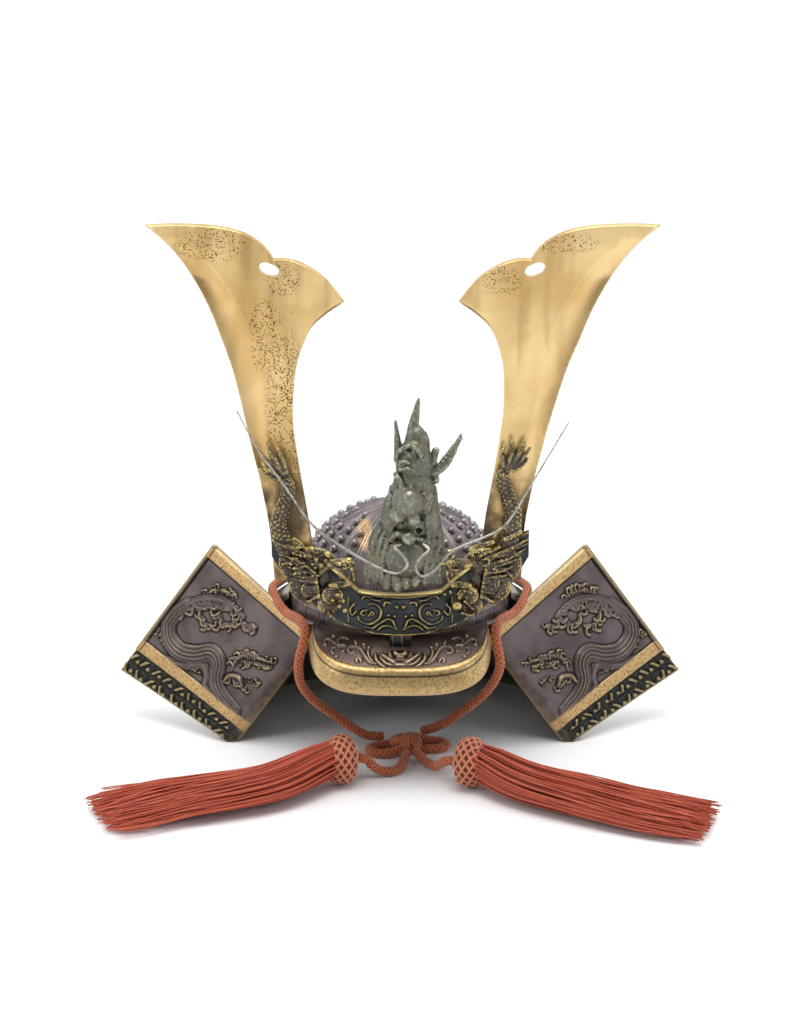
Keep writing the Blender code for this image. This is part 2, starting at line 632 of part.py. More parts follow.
# Spikes, snout wrinkles and mane: (x, forward, z above the foot) routes in millimetres
CREST_STRANDS = [
    Strand([(3, 4, 68), (0, 3, 80), (-2, 2, 94)], 3.2, 0.6),
    Strand([(12, 5, 64), (20, 5, 73), (27, 3, 80), (31.5, 2, 87)], 3.6, 0.7),
    Strand([(19, 5, 72), (19, 5, 80)], 2.4, 1.2),
    Strand([(6, 25, 50), (6, 26, 42), (6, 24, 36)], 5.5, 4.0),
    Strand([(0, 18, 56), (-5, 18, 51), (-7, 16, 44)], 3.2, 1.4),
    Strand([(12, 18, 56), (17, 18, 50), (18, 15, 43)], 3.2, 1.4),
    Strand([(-4, 14, 36), (-9, 10, 22), (-12, 6, 6)], 3.2, 1.4),
    Strand([(1, 18, 34), (-2, 14, 20), (-4, 8, 4)], 3.4, 1.6),
    Strand([(10, 18, 34), (12, 14, 20), (11, 8, 4)], 3.4, 1.6),
    Strand([(15, 14, 36), (19, 10, 22), (20, 6, 6)], 3.2, 1.4)]
WHISKER_LEFT = [(0.5, 19.0, 31.0), (-3.0, 21.0, 30.0), (1.0, 23.5, 26.5), (3.6, 24.5, 22.5),
                (1.8, 23.5, 18.5), (-4.0, 21.5, 16.2), (-15.0, 18.0, 20.0), (-29.0, 14.5, 27.5),
                (-45.5, 12.0, 39.5), (-60.5, 10.0, 61.0), (-73.5, 8.0, 79.0), (-84.0, 7.0, 99.0)]
WHISKER_RIGHT = [(11.5, 18.0, 31.0), (14.6, 21.0, 28.5), (10.5, 24.0, 25.5), (7.8, 24.5, 20.0),
                 (11.0, 23.0, 15.0), (16.2, 21.0, 16.5), (20.8, 19.5, 21.0), (26.0, 18.0, 26.5),
                 (33.0, 16.0, 29.5), (49.5, 13.0, 36.0), (57.8, 11.5, 44.0), (72.7, 9.5, 69.5),
                 (86.5, 7.5, 93.0)]


def crest_point(x, forward, up):
    foot_y = -(BASE_RADIUS - BASE_WALL / 2)
    return Vector((x * MM, foot_y - forward * MM, BASE_FOOT + BASE_HEIGHT * BASE_ROWS[2].top + GAP + up * MM))


def whisker(name, route):
    """One wire; returns the socket that holds its root in the crest."""
    count = 22
    places = [crest_point(*p) for p in route]
    place(name, [tube(places, WHISKER_ROOT, WHISKER_TIP, sides=5, rows=count)], STEEL)
    root = smooth(places, count)[:5]
    root.insert(0, root[0] - (root[1] - root[0]).normalized() * GAP)
    return tube(root, WHISKER_ROOT + 2 * GAP, WHISKER_ROOT + 2 * GAP, sides=6)


def crest():
    loops = []
    for row in CREST_ROWS:
        loop = []
        for k in range(10):
            turn = math.tau * k / 10
            loop.append(crest_point(row.side + math.cos(turn) * row.wide * CREST_HALF_WIDTH / MM,
                                    row.front + math.sin(turn) * row.deep * CREST_DEPTH / MM,
                                    row.up * CREST_HEIGHT / MM))
        loops.append(loop)
    obj = place("dragon_crest", [loft(loops)], VERDIGRIS)
    shapes = [tube([crest_point(*p) for p in s.route], s.root * MM, s.tip * MM, sides=5)
              for s in CREST_STRANDS]
    shapes.append(lump(crest_point(5.5, 16.0, 29.0), (0.0055, 0.0055, 0.0060)))
    combine(obj, shapes, "UNION")
    sockets = [whisker("whisker_left", WHISKER_LEFT), whisker("whisker_right", WHISKER_RIGHT)]
    for socket in sockets:
        combine(obj, [socket], "DIFFERENCE")


# Chin cord: routes in metres, chosen by hand; the hidden stretch lies on the guard's shoulder

def shoulder_route(radius, height, start, end, count):
    return [ring_point(radius, math.radians(start + (end - start) * k / (count - 1)), height)
            for k in range(count)]


CORD_LEFT = [(-0.0095, -0.0268, 0.0046), (-0.0190, -0.0300, 0.0068), (-0.0275, -0.0330, 0.0130),
             (-0.0385, -0.0365, 0.0225), (-0.0480, -0.0410, 0.0320), (-0.0535, -0.0460, 0.0425),
             (-0.0545, -0.0500, 0.0540), (-0.0525, -0.0515, 0.0640), (-0.0508, -0.0470, 0.0710),
             (-0.0530, -0.0385, 0.0745), (-0.0580, -0.0290, 0.0755), (-0.0628, -0.0190, 0.0762),
             (-0.0668, -0.0095, 0.0782), (-0.0700, 0.0000, 0.0793)]
CORD_BACK = shoulder_route(BOWL_RADIUS + 0.0116, RIM_HEIGHT + 0.0068, 173.0, 7.0, 15)
CORD_RIGHT = [(0.0700, 0.0000, 0.0793), (0.0668, -0.0095, 0.0782), (0.0628, -0.0190, 0.0762),
              (0.0580, -0.0290, 0.0755), (0.0530, -0.0385, 0.0745), (0.0512, -0.0470, 0.0700),
              (0.0528, -0.0515, 0.0610), (0.0535, -0.0500, 0.0530), (0.0505, -0.0460, 0.0430),
              (0.0440, -0.0415, 0.0330), (0.0345, -0.0370, 0.0235), (0.0255, -0.0310, 0.0145),
              (0.0185, -0.0250, 0.0090), (0.0128, -0.0203, 0.0056)]
TAIL_LEFT = [(0.0036, -0.0520, 0.0044), (0.0016, -0.0600, 0.0028), (0.0000, -0.0690, 0.0028),
             (-0.0040, -0.0745, 0.0028), (-0.0100, -0.0765, 0.0038), (-0.0145, -0.0783, 0.0072),
             (-0.0176, -0.0797, 0.0115), (-0.0219, -0.0814, 0.0130)]
TAIL_RIGHT = [(0.0086, -0.0483, 0.0042), (0.0125, -0.0580, 0.0028), (0.0160, -0.0650, 0.0030),
              (0.0190, -0.0720, 0.0046), (0.0215, -0.0790, 0.0088), (0.0240, -0.0834, 0.0118),
              (0.0282, -0.0856, 0.0130)]


def cord(name, route, count):
    data = bpy.data.curves.new(name, "CURVE")
    data.dimensions = "3D"
    data.bevel_depth = CORD_RADIUS
    data.bevel_resolution = 2
    data.use_fill_caps = True
    line = data.splines.new("POLY")
    points = smooth(route, count)
    line.points.add(len(points) - 1)
    for spot, p in zip(line.points, points):
        spot.co = (*p, 1.0)
    obj = bpy.data.objects.new(name, data)
    bpy.context.scene.collection.objects.link(obj)
    data.materials.append(material(name, SILK))


def knot():
    """Two soft loops and a wrapped heart, flattened as they lie."""
    thick = CORD_RADIUS
    heart = lump((0.0045, -0.0400, 0.0052), (0.0105, 0.0105, 0.0050))

    def loop(cx, cy, rx, ry, z):
        count = 12
        rings = []
        for k in range(count):
            turn = math.tau * k / count
            centre = Vector((cx + rx * math.cos(turn), cy + ry * math.sin(turn), z))
            out = Vector((math.cos(turn), math.sin(turn), 0))
            rings.append([centre + out * thick * math.cos(math.tau * j / 6)
                          + Vector((0, 0, thick * math.sin(math.tau * j / 6))) for j in range(6)])
        points, faces = loft(rings, capped=False)
        last = (count - 1) * 6
        faces += [(last + j, last + (j + 1) % 6, (j + 1) % 6, j) for j in range(6)]
        return points, faces

    obj = place("cord_knot", [heart], SILK)
    combine(obj, [loop(-0.0065, -0.0425, 0.0085, 0.0095, 0.0030),
                  loop(0.0165, -0.0350, 0.0090, 0.0075, 0.0036),
                  loop(0.0035, -0.0290, 0.0075, 0.0060, 0.0040)], "UNION")


# Rings along a tassel: share of its length, half width and half height in head radii
TasselRow = namedtuple("TasselRow", "along wide high")
HEAD_ROWS = [TasselRow(0.0, 0.38, 0.38), TasselRow(0.18, 0.85, 0.85), TasselRow(0.5, 1.0, 1.0),
             TasselRow(0.82, 0.90, 0.90), TasselRow(1.0, 0.78, 0.78)]
SKIRT_ROWS = [TasselRow(0.02, 0.86, 0.80), TasselRow(0.15, 1.20, 0.82), TasselRow(0.30, 1.65, 0.70),
              TasselRow(0.50, 1.95, 0.58), TasselRow(0.70, 2.05, 0.48), TasselRow(0.88, 2.05, 0.38),
              TasselRow(1.0, 1.70, 0.26)]
TASSEL_LEFT_LINE = [(-0.0230, -0.0820, 0.0132), (-0.0380, -0.0880, 0.0135), (-0.0650, -0.1080, 0.0100),
                    (-0.0900, -0.1180, 0.0085), (-0.1180, -0.1250, 0.0068), (-0.1560, -0.1400, 0.0045)]
TASSEL_RIGHT_LINE = [(0.0290, -0.0860, 0.0132), (0.0440, -0.0925, 0.0135), (0.0640, -0.1080, 0.0100),
                     (0.0900, -0.1220, 0.0085), (0.1200, -0.1360, 0.0068), (0.1590, -0.1500, 0.0045)]


def tassel(name, route):
    """A netted head and a skirt of thread locks that spreads out on the surface."""
    sides = 14
    line = smooth(route, 60)
    length = sum((b - a).length for a, b in zip(line, line[1:]))
    head = TASSEL_HEAD_LENGTH / length
    rows = [(row.along * head, row, 0.0) for row in HEAD_ROWS]
    rows += [(head + row.along * (1 - head), row, 0.10) for row in SKIRT_ROWS]
    loops = []
    for share, row, lock in rows:
        k = min(int(share * 59), 58)
        centre = line[k].lerp(line[k + 1], share * 59 - k)
        ahead = (line[min(k + 2, 59)] - line[max(k - 1, 0)]).normalized()
        side = ahead.cross(Vector((0, 0, 1))).normalized()
        lift = side.cross(ahead)
        loop = []
        for j in range(sides):
            turn = math.tau * j / sides
            swell = 1 + (lock if j % 2 else -lock)
            spot = (centre + side * row.wide * swell * TASSEL_HEAD_RADIUS * math.cos(turn)
                    + lift * row.high * swell * TASSEL_HEAD_RADIUS * math.sin(turn))
            spot.z = max(spot.z, 0.0)
            loop.append(spot)
        loops.append(loop)
    place(name, [loft(loops)], SILK)


bowl()
turnbacks()
neck_guard()
visor()
horn_base()
horns()
crest()
cord("chin_cord", CORD_LEFT[:-1] + CORD_BACK + CORD_RIGHT[1:], 56)
cord("cord_tail_left", TAIL_LEFT, 9)
cord("cord_tail_right", TAIL_RIGHT, 9)
knot()
tassel("tassel_left", TASSEL_LEFT_LINE)
tassel("tassel_right", TASSEL_RIGHT_LINE)

# The origin lies below the middle of the metalwork's depth
SOFT_PARTS = ("chin_cord", "cord_tail_left", "cord_tail_right", "cord_knot", "tassel_left", "tassel_right")
depths = [v.co.y for obj in bpy.data.objects if obj.name not in SOFT_PARTS for v in obj.data.vertices]
middle_depth = (min(depths) + max(depths)) / 2
for obj in bpy.data.objects:
    obj.data.transform(Matrix.Translation((0.0, -middle_depth, 0.0)))
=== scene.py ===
# %% [markdown]
# # A cast display kabuto
# The helmet is cast metal: a studded bowl, a flared neck guard, two turned-back plates with waves,
# a visor, a horn base with dragon heads, two brass horns and a dragon crest. A braided silk cord
# with two tassels lies in front. The CAD model gives the frame, and each piece here replaces its node.

# %% Load the frame
import math

import bmesh
import bpy
import numpy as np
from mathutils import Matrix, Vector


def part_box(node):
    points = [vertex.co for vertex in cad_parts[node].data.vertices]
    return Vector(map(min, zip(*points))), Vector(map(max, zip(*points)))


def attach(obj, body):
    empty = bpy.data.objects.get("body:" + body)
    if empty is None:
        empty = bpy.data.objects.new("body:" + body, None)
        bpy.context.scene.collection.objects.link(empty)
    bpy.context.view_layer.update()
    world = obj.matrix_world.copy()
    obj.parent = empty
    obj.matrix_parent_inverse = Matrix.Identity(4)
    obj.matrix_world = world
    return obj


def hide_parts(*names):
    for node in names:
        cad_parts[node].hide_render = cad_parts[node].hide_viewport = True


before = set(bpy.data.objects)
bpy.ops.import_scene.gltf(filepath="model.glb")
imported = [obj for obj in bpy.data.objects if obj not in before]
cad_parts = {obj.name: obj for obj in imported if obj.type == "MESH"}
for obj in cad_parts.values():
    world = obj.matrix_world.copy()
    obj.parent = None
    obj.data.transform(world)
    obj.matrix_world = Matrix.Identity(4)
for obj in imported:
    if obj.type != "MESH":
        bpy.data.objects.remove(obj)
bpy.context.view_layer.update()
bowl_low, bowl_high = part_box("bowl")
AXIS_Y = (bowl_low[1] + bowl_high[1]) / 2
random = np.random.default_rng(7)
print("bowl axis at y", round(AXIS_Y, 4))

# %% [markdown]
# Lengths below are millimetres from the bowl's axis and the surface it stands on, because a maker
# reads them off the work that way. One helper turns them into metres in the frame. Meshes that
# follow a drawn line are made from points, which a hand tool would only place one by one.


# %% Helpers for places, lines and meshes
def to_metres(points):
    return np.asarray(points, float) / 1000 + np.array([0.0, AXIS_Y, 0.0])


def unit(vectors):
    return vectors / np.maximum(np.linalg.norm(vectors, axis=-1, keepdims=True), 1e-12)


def smooth_line(route, count):
    """Even points along a Catmull-Rom curve through the route."""
    pts = np.asarray(route, float)
    pts = np.vstack([2 * pts[0] - pts[1], pts, 2 * pts[-1] - pts[-2]])
    t = np.linspace(0, 1, 20, endpoint=False)[:, None]
    dense = [0.5 * (2 * b + (c - a) * t + (2 * a - 5 * b + 4 * c - d) * t ** 2
                    + (3 * b - a - 3 * c + d) * t ** 3)
             for a, b, c, d in zip(pts, pts[1:], pts[2:], pts[3:])]
    dense = np.vstack(dense + [pts[-2][None]])
    along = np.r_[0, np.cumsum(np.linalg.norm(np.diff(dense, axis=0), axis=1))]
    want = np.linspace(0, along[-1], count)
    return np.column_stack([np.interp(want, along, dense[:, k]) for k in range(dense.shape[1])])


def line_length(line):
    return float(np.linalg.norm(np.diff(line, axis=0), axis=1).sum())


def grid_faces(rows, columns, wrap=False):
    """Quads of a grid of points laid row by row; wrap joins the last column to the first."""
    r, c = np.meshgrid(np.arange(rows - 1), np.arange(columns - (0 if wrap else 1)), indexing="ij")
    r, c = r.ravel(), c.ravel()
    d = (c + 1) % columns
    return np.column_stack([r * columns + c, r * columns + d, (r + 1) * columns + d, (r + 1) * columns + c])


def bar(line, radius, sides=6, relief=None, flat=1.0, up=(0.0, 0.0, 1.0)):
    """A round bar along a line. radius may vary along it, and relief(turn, along) adds to it."""
    line = np.asarray(line, float)
    count = len(line)
    radius = np.broadcast_to(np.asarray(radius, float), (count,))
    ahead = unit(np.gradient(line, axis=0))
    side = np.empty_like(line)
    start = np.cross(ahead[0], up)
    if np.linalg.norm(start) < 1e-3:
        start = np.cross(ahead[0], (1.0, 0.0, 0.0))
    side[0] = unit(start)
    for i in range(1, count):
        step = side[i - 1] - ahead[i] * np.dot(side[i - 1], ahead[i])
        side[i] = step / max(np.linalg.norm(step), 1e-9)
    lift = np.cross(side, ahead)
    turn = np.arange(sides) * math.tau / sides
    along = np.r_[0, np.cumsum(np.linalg.norm(np.diff(line, axis=0), axis=1))]
    reach = radius[:, None] + (relief(turn[None, :], along[:, None]) if relief else 0.0)
    rings = (line[:, None, :] + side[:, None, :] * (reach * np.cos(turn))[..., None]
             + lift[:, None, :] * (reach * np.sin(turn) * flat)[..., None])
    faces = [tuple(f) for f in grid_faces(count, sides, wrap=True)]
    faces.append(tuple(range(sides))[::-1])
    faces.append(tuple((count - 1) * sides + k for k in range(sides)))
    return rings.reshape(-1, 3), faces


def merge(shapes):
    points, faces, start = [], [], 0
    for shape_points, shape_faces in shapes:
        points.append(np.asarray(shape_points))
        faces += [tuple(int(start + i) for i in f) for f in shape_faces]
        start += len(shape_points)
    return np.vstack(points), faces


def mirrored(shape):
    return np.asarray(shape[0]) * np.array([-1.0, 1.0, 1.0]), [tuple(f)[::-1] for f in shape[1]]


def deselect():
    if bpy.context.mode != "OBJECT":
        bpy.ops.object.mode_set(mode="OBJECT")
    bpy.ops.object.select_all(action="DESELECT")


def new_object(name, shape, outward=True):
    points, faces = shape
    mesh = bpy.data.meshes.new(name)
    mesh.from_pydata([tuple(p) for p in to_metres(points).tolist()], [], [tuple(map(int, f)) for f in faces])
    obj = bpy.data.objects.new(name, mesh)
    bpy.context.scene.collection.objects.link(obj)
    if outward:
        bm = bmesh.new()
        bm.from_mesh(mesh)
        bmesh.ops.recalc_face_normals(bm, faces=bm.faces)
        bm.to_mesh(mesh)
        bm.free()
    mesh.shade_smooth()
    return obj


def attribute(obj, name, values):
    """A value for each point of the mesh, which the material reads by name."""
    store = obj.data.attributes.get(name) or obj.data.attributes.new(name, "FLOAT", "POINT")
    store.data.foreach_set("value", np.asarray(values, np.float32).ravel())


def raised_mask(obj, name, rounds, full):
    """How far each point stands above its smoothed surroundings: full (mm) gives 1, a hollow is below 0."""
    mesh = obj.data
    count = len(mesh.vertices)
    places = np.empty(count * 3)
    mesh.vertices.foreach_get("co", places)
    places = places.reshape(-1, 3)
    normals = np.empty(count * 3)
    mesh.vertices.foreach_get("normal", normals)
    edges = np.empty(len(mesh.edges) * 2, np.int64)
    mesh.edges.foreach_get("vertices", edges)
    a, b = edges.reshape(-1, 2).T
    degree = np.maximum(np.bincount(a, minlength=count) + np.bincount(b, minlength=count), 1)
    soft = places.copy()
    for _ in range(rounds):
        total = np.column_stack([np.bincount(a, soft[b, k], count) + np.bincount(b, soft[a, k], count)
                                 for k in range(3)])
        soft = 0.5 * soft + 0.5 * total / degree[:, None]
    stand = ((places - soft) * normals.reshape(-1, 3)).sum(1) * 1000 / full
    attribute(obj, name, np.clip(stand, -1, 1))


def finish_piece(obj, material, *nodes):
    """Gives a piece its finish, and lets it ride the frame in place of its CAD nodes."""
    obj.data.materials.clear()
    obj.data.materials.append(material)
    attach(obj, "root")
    if nodes:
        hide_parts(*nodes)
    triangles = sum(len(p.vertices) - 2 for p in obj.data.polygons)
    print(obj.name, triangles, "triangles")
    return obj


# %% [markdown]
# Materials are built from nodes. A small class wraps a socket so that maths on it reads like plain
# Python, and one method adds any other node. Patina is colour that depends on how raised or hollow
# a place is, broken up by noise, so each cast piece shares one recipe with its own colours.


# %% A small class for shader maths
class Value:
    def __init__(self, mat, socket):
        self.mat = mat
        self.socket = socket

    def maths(self, operation, *others):
        return Value(self.mat, self.mat.node("ShaderNodeMath", {"operation": operation},
                                             dict(enumerate((self,) + others))).outputs[0])

    def __add__(self, other):
        return self.maths("ADD", other)

    def __sub__(self, other):
        return self.maths("SUBTRACT", other)

    def __mul__(self, other):
        return self.maths("MULTIPLY", other)

    def __rsub__(self, other):
        return self.maths("MULTIPLY", -1.0).maths("ADD", other)

    __radd__ = __add__
    __rmul__ = __mul__

    def clamp(self):
        return self.maths("MAXIMUM", 0.0).maths("MINIMUM", 1.0)

    def step(self, low, high):
        """0 below low and 1 above high, with a smooth change between."""
        return Value(self.mat, self.mat.node("ShaderNodeMapRange", {"interpolation_type": "SMOOTHSTEP"},
                                             {0: self, 1: low, 2: high, 3: 0.0, 4: 1.0}).outputs[0])


class Finish:
    """A Principled material and the nodes that feed it."""

    def __init__(self, name, **shader_values):
        self.material = bpy.data.materials.new(name)
        self.material.use_nodes = True
        self.tree = self.material.node_tree
        self.shader = self.tree.nodes["Principled BSDF"]
        for socket, value in shader_values.items():
            self.shader.inputs[socket.replace("_", " ")].default_value = value
        self.place = self.node("ShaderNodeTexCoord", {}, {}).outputs["Object"]

    def node(self, kind, settings, sockets):
        made = self.tree.nodes.new(kind)
        for key, value in settings.items():
            setattr(made, key, value)
        for key, value in sockets.items():
            if isinstance(value, Value):
                value = value.socket
            if isinstance(value, bpy.types.NodeSocket):
                self.tree.links.new(value, made.inputs[key])
            else:
                made.inputs[key].default_value = value
        return made

    def noise(self, scale, detail=3.0, rough=0.55, where=None):
        return Value(self, self.node("ShaderNodeTexNoise", {}, {
            "Vector": where or self.place, "Scale": scale, "Detail": detail, "Roughness": rough}).outputs[0])

    def cells(self, scale, where=None):
        """Distance from scattered points, for pits and grains."""
        return Value(self, self.node("ShaderNodeTexVoronoi", {}, {
            "Vector": where or self.place, "Scale": scale}).outputs["Distance"])

    def read(self, name):
        return Value(self, self.node("ShaderNodeAttribute", {"attribute_name": name}, {}).outputs["Fac"])

    def axis(self, name):
        return Value(self, self.node("ShaderNodeSeparateXYZ", {}, {0: self.place}).outputs[name])

    def blend(self, share, first, second):
        """A colour between two others, each a triple or a socket."""
        def colour(c):
            return (*c, 1.0) if isinstance(c, tuple) and len(c) == 3 else c
        return self.node("ShaderNodeMix", {"data_type": "RGBA"}, {
            "Factor": share, 6: colour(first), 7: colour(second)}).outputs[2]

    def stretched(self, scale):
        return self.node("ShaderNodeMapping", {}, {"Vector": self.place, "Scale": scale}).outputs[0]

    def finish(self, colour, roughness, bump=None, bump_height=0.0003, metallic=None):
        self.tree.links.new(colour, self.shader.inputs["Base Color"])
        self.tree.links.new(roughness.socket, self.shader.inputs["Roughness"])
        if metallic is not None:
            self.tree.links.new(metallic.socket, self.shader.inputs["Metallic"])
        if bump is not None:
            made = self.node("ShaderNodeBump", {}, {"Height": bump, "Distance": bump_height, "Strength": 1.0})
            self.tree.links.new(made.outputs[0], self.shader.inputs["Normal"])
        return self.material


# %% [markdown]
# The camera stands where the photo was taken: a little above the helmet and well back, with a long
# lens. A pale floor and big soft lights give the even studio light, brighter from above.

# %% Camera, floor and light
def look_from(azimuth, elevation, distance, target):
    """A place on a sphere round the target; azimuth 0 stands in front."""
    flat = math.cos(elevation) * distance
    return (target[0] - flat * math.sin(azimuth), target[1] - flat * math.cos(azimuth),
            target[2] + distance * math.sin(elevation))


target = (-0.0025, AXIS_Y, 0.1255)
bpy.ops.object.camera_add(location=look_from(0.0, math.radians(15.0), 1.30, target),
                          rotation=(math.radians(75.0), 0.0, 0.0))
camera = bpy.context.object
camera.data.sensor_fit = "VERTICAL"
camera.data.angle = math.radians(24.4)
camera.data.clip_start = 0.05
bpy.context.scene.camera = camera

deselect()
bpy.ops.mesh.primitive_plane_add(size=80.0)
floor = bpy.context.object
floor.name = "studio_floor"
paper = Finish("floor_paper", Specular_IOR_Level=0.2, Emission_Strength=0.30)
# Far from the helmet the paper glows a little, as a lit backdrop does; near it the shadows stay deep
east, north = paper.axis("X"), paper.axis("Y")
far = (east * east + north * north).maths("SQRT").step(0.32, 1.1)
paper.tree.links.new(paper.blend(far, (0.0, 0.0, 0.0), (1.0, 1.0, 1.0)), paper.shader.inputs["Emission Color"])
floor.data.materials.append(paper.finish(
    paper.blend(paper.noise(3.0), (0.90, 0.905, 0.915), (0.92, 0.925, 0.93)), paper.noise(8.0) * 0.1 + 0.6))


def area_light(name, place, size, energy, colour, aim=(0.0, 0.0, 0.1)):
    bpy.ops.object.light_add(type="AREA", location=place)
    lamp = bpy.context.object
    lamp.name = name
    lamp.data.size = size
    lamp.data.energy = energy
    lamp.data.color = colour
    way = np.array(aim) - np.array(place)
    lamp.rotation_euler = (math.atan2(math.hypot(way[0], way[1]), -way[2]), 0.0,
                           math.atan2(-way[0], way[1]))
    return lamp


area_light("top_softbox", (0.0, -0.2, 1.6), 1.2, 17.0, (1.0, 0.99, 0.97))
area_light("left_softbox", (-1.4, -0.9, 0.9), 0.8, 6.0, (1.0, 0.985, 0.96))
area_light("right_softbox", (1.3, -0.8, 0.7), 0.7, 3.0, (0.96, 0.98, 1.0))
world = bpy.data.worlds.new("studio")
bpy.context.scene.world = world
world.use_nodes = True
background = world.node_tree.nodes["Background"]
background.inputs[0].default_value = (0.98, 0.985, 1.0, 1.0)
# Bright behind the helmet and dim in front of it, so that the metal has something to reflect
way = world.node_tree.nodes.new("ShaderNodeTexCoord")
parts = world.node_tree.nodes.new("ShaderNodeSeparateXYZ")
ramp = world.node_tree.nodes.new("ShaderNodeMapRange")
world.node_tree.links.new(way.outputs["Generated"], parts.inputs[0])
world.node_tree.links.new(parts.outputs["Y"], ramp.inputs["Value"])
world.node_tree.links.new(ramp.outputs[0], background.inputs[1])
for socket, value in (("From Min", -0.45), ("From Max", 0.45), ("To Min", 0.34), ("To Max", 1.30)):
    ramp.inputs[socket].default_value = value
bpy.context.scene.view_settings.view_transform = "Standard"
print("camera at", [round(v, 3) for v in camera.location])

# %% [markdown]
# The chin cord is a round braid of silk, about 5 mm thick. It runs as one loop: from the knot up
# both sides, over the plates' upper edges, and round behind the bowl on the guard's shoulder. The
# braid is a bar whose radius rises where two sets of strands wind round it and cross.


# %% The braided cord and its route
CORD_RADIUS = 2.5
BRAID_PITCH = 11.0


def braid(turn, along):
    """Two sets of three strands that cross, one high where the other is low."""
    left = (turn / math.tau + along / BRAID_PITCH) * 4
    right = (turn / math.tau - along / BRAID_PITCH) * 4
    from_left, from_right = np.abs(left - np.round(left)) * 2, np.abs(right - np.round(right)) * 2
    over = (np.round(left) + np.round(right)) % 2 == 0
    first = np.sqrt(1 - 0.96 * from_left ** 2) * (1 - 0.45 * from_right ** 2)
    second = np.sqrt(1 - 0.96 * from_right ** 2) * (1 - 0.45 * from_left ** 2)
    return 0.95 * np.where(over, first, second) - 0.75


def cord_bar(route, radius=CORD_RADIUS):
    """Points and faces of a braided length along a route, and its centreline."""
    rough = smooth_line(route, 400)
    line = smooth_line(route, max(int(line_length(rough) / 0.5), 12))
    return bar(line, radius, 28, relief=braid), line


def shoulder_route(radius, height, start, end, count):
    turn = np.radians(np.linspace(start, end, count))
    return [(radius * math.cos(t), radius * math.sin(t), height) for t in turn]


CORD_LEFT = [(-9.5, -26.8, 4.6), (-19.0, -30.0, 6.8), (-27.5, -33.0, 13.0), (-38.5, -36.5, 22.5),
             (-48.0, -41.0, 32.0), (-53.5, -46.0, 42.5), (-54.5, -50.0, 54.0), (-52.5, -51.5, 64.0),
             (-50.8, -47.0, 71.0), (-53.0, -38.5, 74.5), (-58.0, -28.0, 74.3), (-62.2, -18.8, 73.6),
             (-67.0, -10.0, 76.4), (-70.6, 0.0, 79.0)]
CORD_RIGHT = [(70.6, 0.0, 79.0), (67.0, -10.0, 76.4), (62.2, -18.8, 73.6), (58.0, -28.0, 74.3),
              (53.0, -38.5, 74.5), (51.2, -47.0, 70.0), (52.8, -51.5, 61.0), (53.5, -50.0, 53.0),
              (50.5, -46.0, 43.0), (44.0, -41.5, 33.0), (34.5, -37.0, 23.5), (25.5, -31.0, 14.5),
              (18.5, -25.0, 9.0), (12.8, -20.3, 5.6)]
CORD_BACK = shoulder_route(71.6, 78.8, 173.0, 7.0, 15)
TAIL_LEFT = [(3.6, -52.0, 4.4), (1.6, -60.0, 2.8), (0.0, -69.0, 2.8), (-4.0, -74.5, 2.8),
             (-10.0, -76.5, 3.8), (-14.5, -78.3, 7.2), (-17.6, -79.7, 11.5), (-21.9, -81.4, 13.0)]
TAIL_RIGHT = [(8.6, -48.3, 4.2), (12.5, -58.0, 2.8), (16.0, -65.0, 3.0), (19.0, -72.0, 4.6),
              (21.5, -79.0, 8.8), (24.0, -83.4, 11.8), (28.2, -85.6, 13.0)]

silk_cord = Finish("braided_silk", Sheen_Weight=0.35, Sheen_Roughness=0.5, Specular_IOR_Level=0.25)
# Near black low between the braid's strands is painted shade in its grooves; the strand tops keep the silk's red.
strand_tops_over_painted_shade = silk_cord.read("raised").step(-0.7, 0.5)
fibres = silk_cord.noise(2600.0, 2.0)
cord_red = silk_cord.finish(
    silk_cord.blend(strand_tops_over_painted_shade, (0.085, 0.018, 0.008),
                    silk_cord.blend(silk_cord.noise(160.0), (0.40, 0.095, 0.032), (0.52, 0.16, 0.060))),
    fibres * 0.25 + 0.62, fibres, 0.00012)


def make_cord(name, route, *nodes):
    shape, line = cord_bar(route)
    obj = new_object(name, shape)
    raised_mask(obj, "raised", 9, 0.24)
    finish_piece(obj, cord_red, *nodes)
    return obj, line


chin_cord, chin_line = make_cord("chin_cord_braid", CORD_LEFT[:-1] + CORD_BACK + CORD_RIGHT[1:], "chin_cord")
tail_left, tail_left_line = make_cord("cord_tail_left_braid", TAIL_LEFT, "cord_tail_left")
tail_right, tail_right_line = make_cord("cord_tail_right_braid", TAIL_RIGHT, "cord_tail_right")
print("cord lengths in mm", [round(line_length(line)) for line in (chin_line, tail_left_line, tail_right_line)])

# %% [markdown]
# The knot ties the cord into two round loops with a wrapped middle. Each loop is the same braid laid
# in a curve, and the ends pass over one another in low humps.

# %% The knot
KNOT_ROUTES = [
    [(4.0, -33.5, 3.4), (-5.0, -34.0, 2.8), (-12.5, -36.0, 2.7), (-16.6, -41.0, 2.7), (-15.0, -46.5, 2.7),
     (-8.5, -48.6, 2.8), (-1.0, -46.5, 4.0), (3.5, -43.5, 6.4), (7.0, -40.5, 7.6)],
    [(3.0, -39.0, 3.6), (9.0, -41.0, 2.8), (16.0, -41.3, 2.7), (22.5, -39.5, 2.7), (25.2, -34.5, 2.7),
     (22.0, -30.0, 2.9), (15.0, -29.5, 3.6), (9.0, -31.5, 6.0), (4.5, -35.5, 7.8), (2.5, -41.0, 7.6),
     (3.2, -48.0, 5.2)],
    [(-3.0, -35.5, 3.6), (-3.0, -29.0, 3.0), (0.5, -24.6, 3.0), (6.5, -24.0, 3.0), (10.0, -28.0, 3.2),
     (9.6, -34.0, 4.4), (6.0, -39.5, 7.9), (-1.5, -41.5, 7.4), (-3.6, -37.5, 5.6)],
    [(9.5, -37.5, 5.8), (9.4, -42.0, 6.0), (8.0, -46.0, 4.6)]]
knot_parts = [cord_bar(route)[0] for route in KNOT_ROUTES]
knot = new_object("cord_knot_braid", merge(knot_parts))
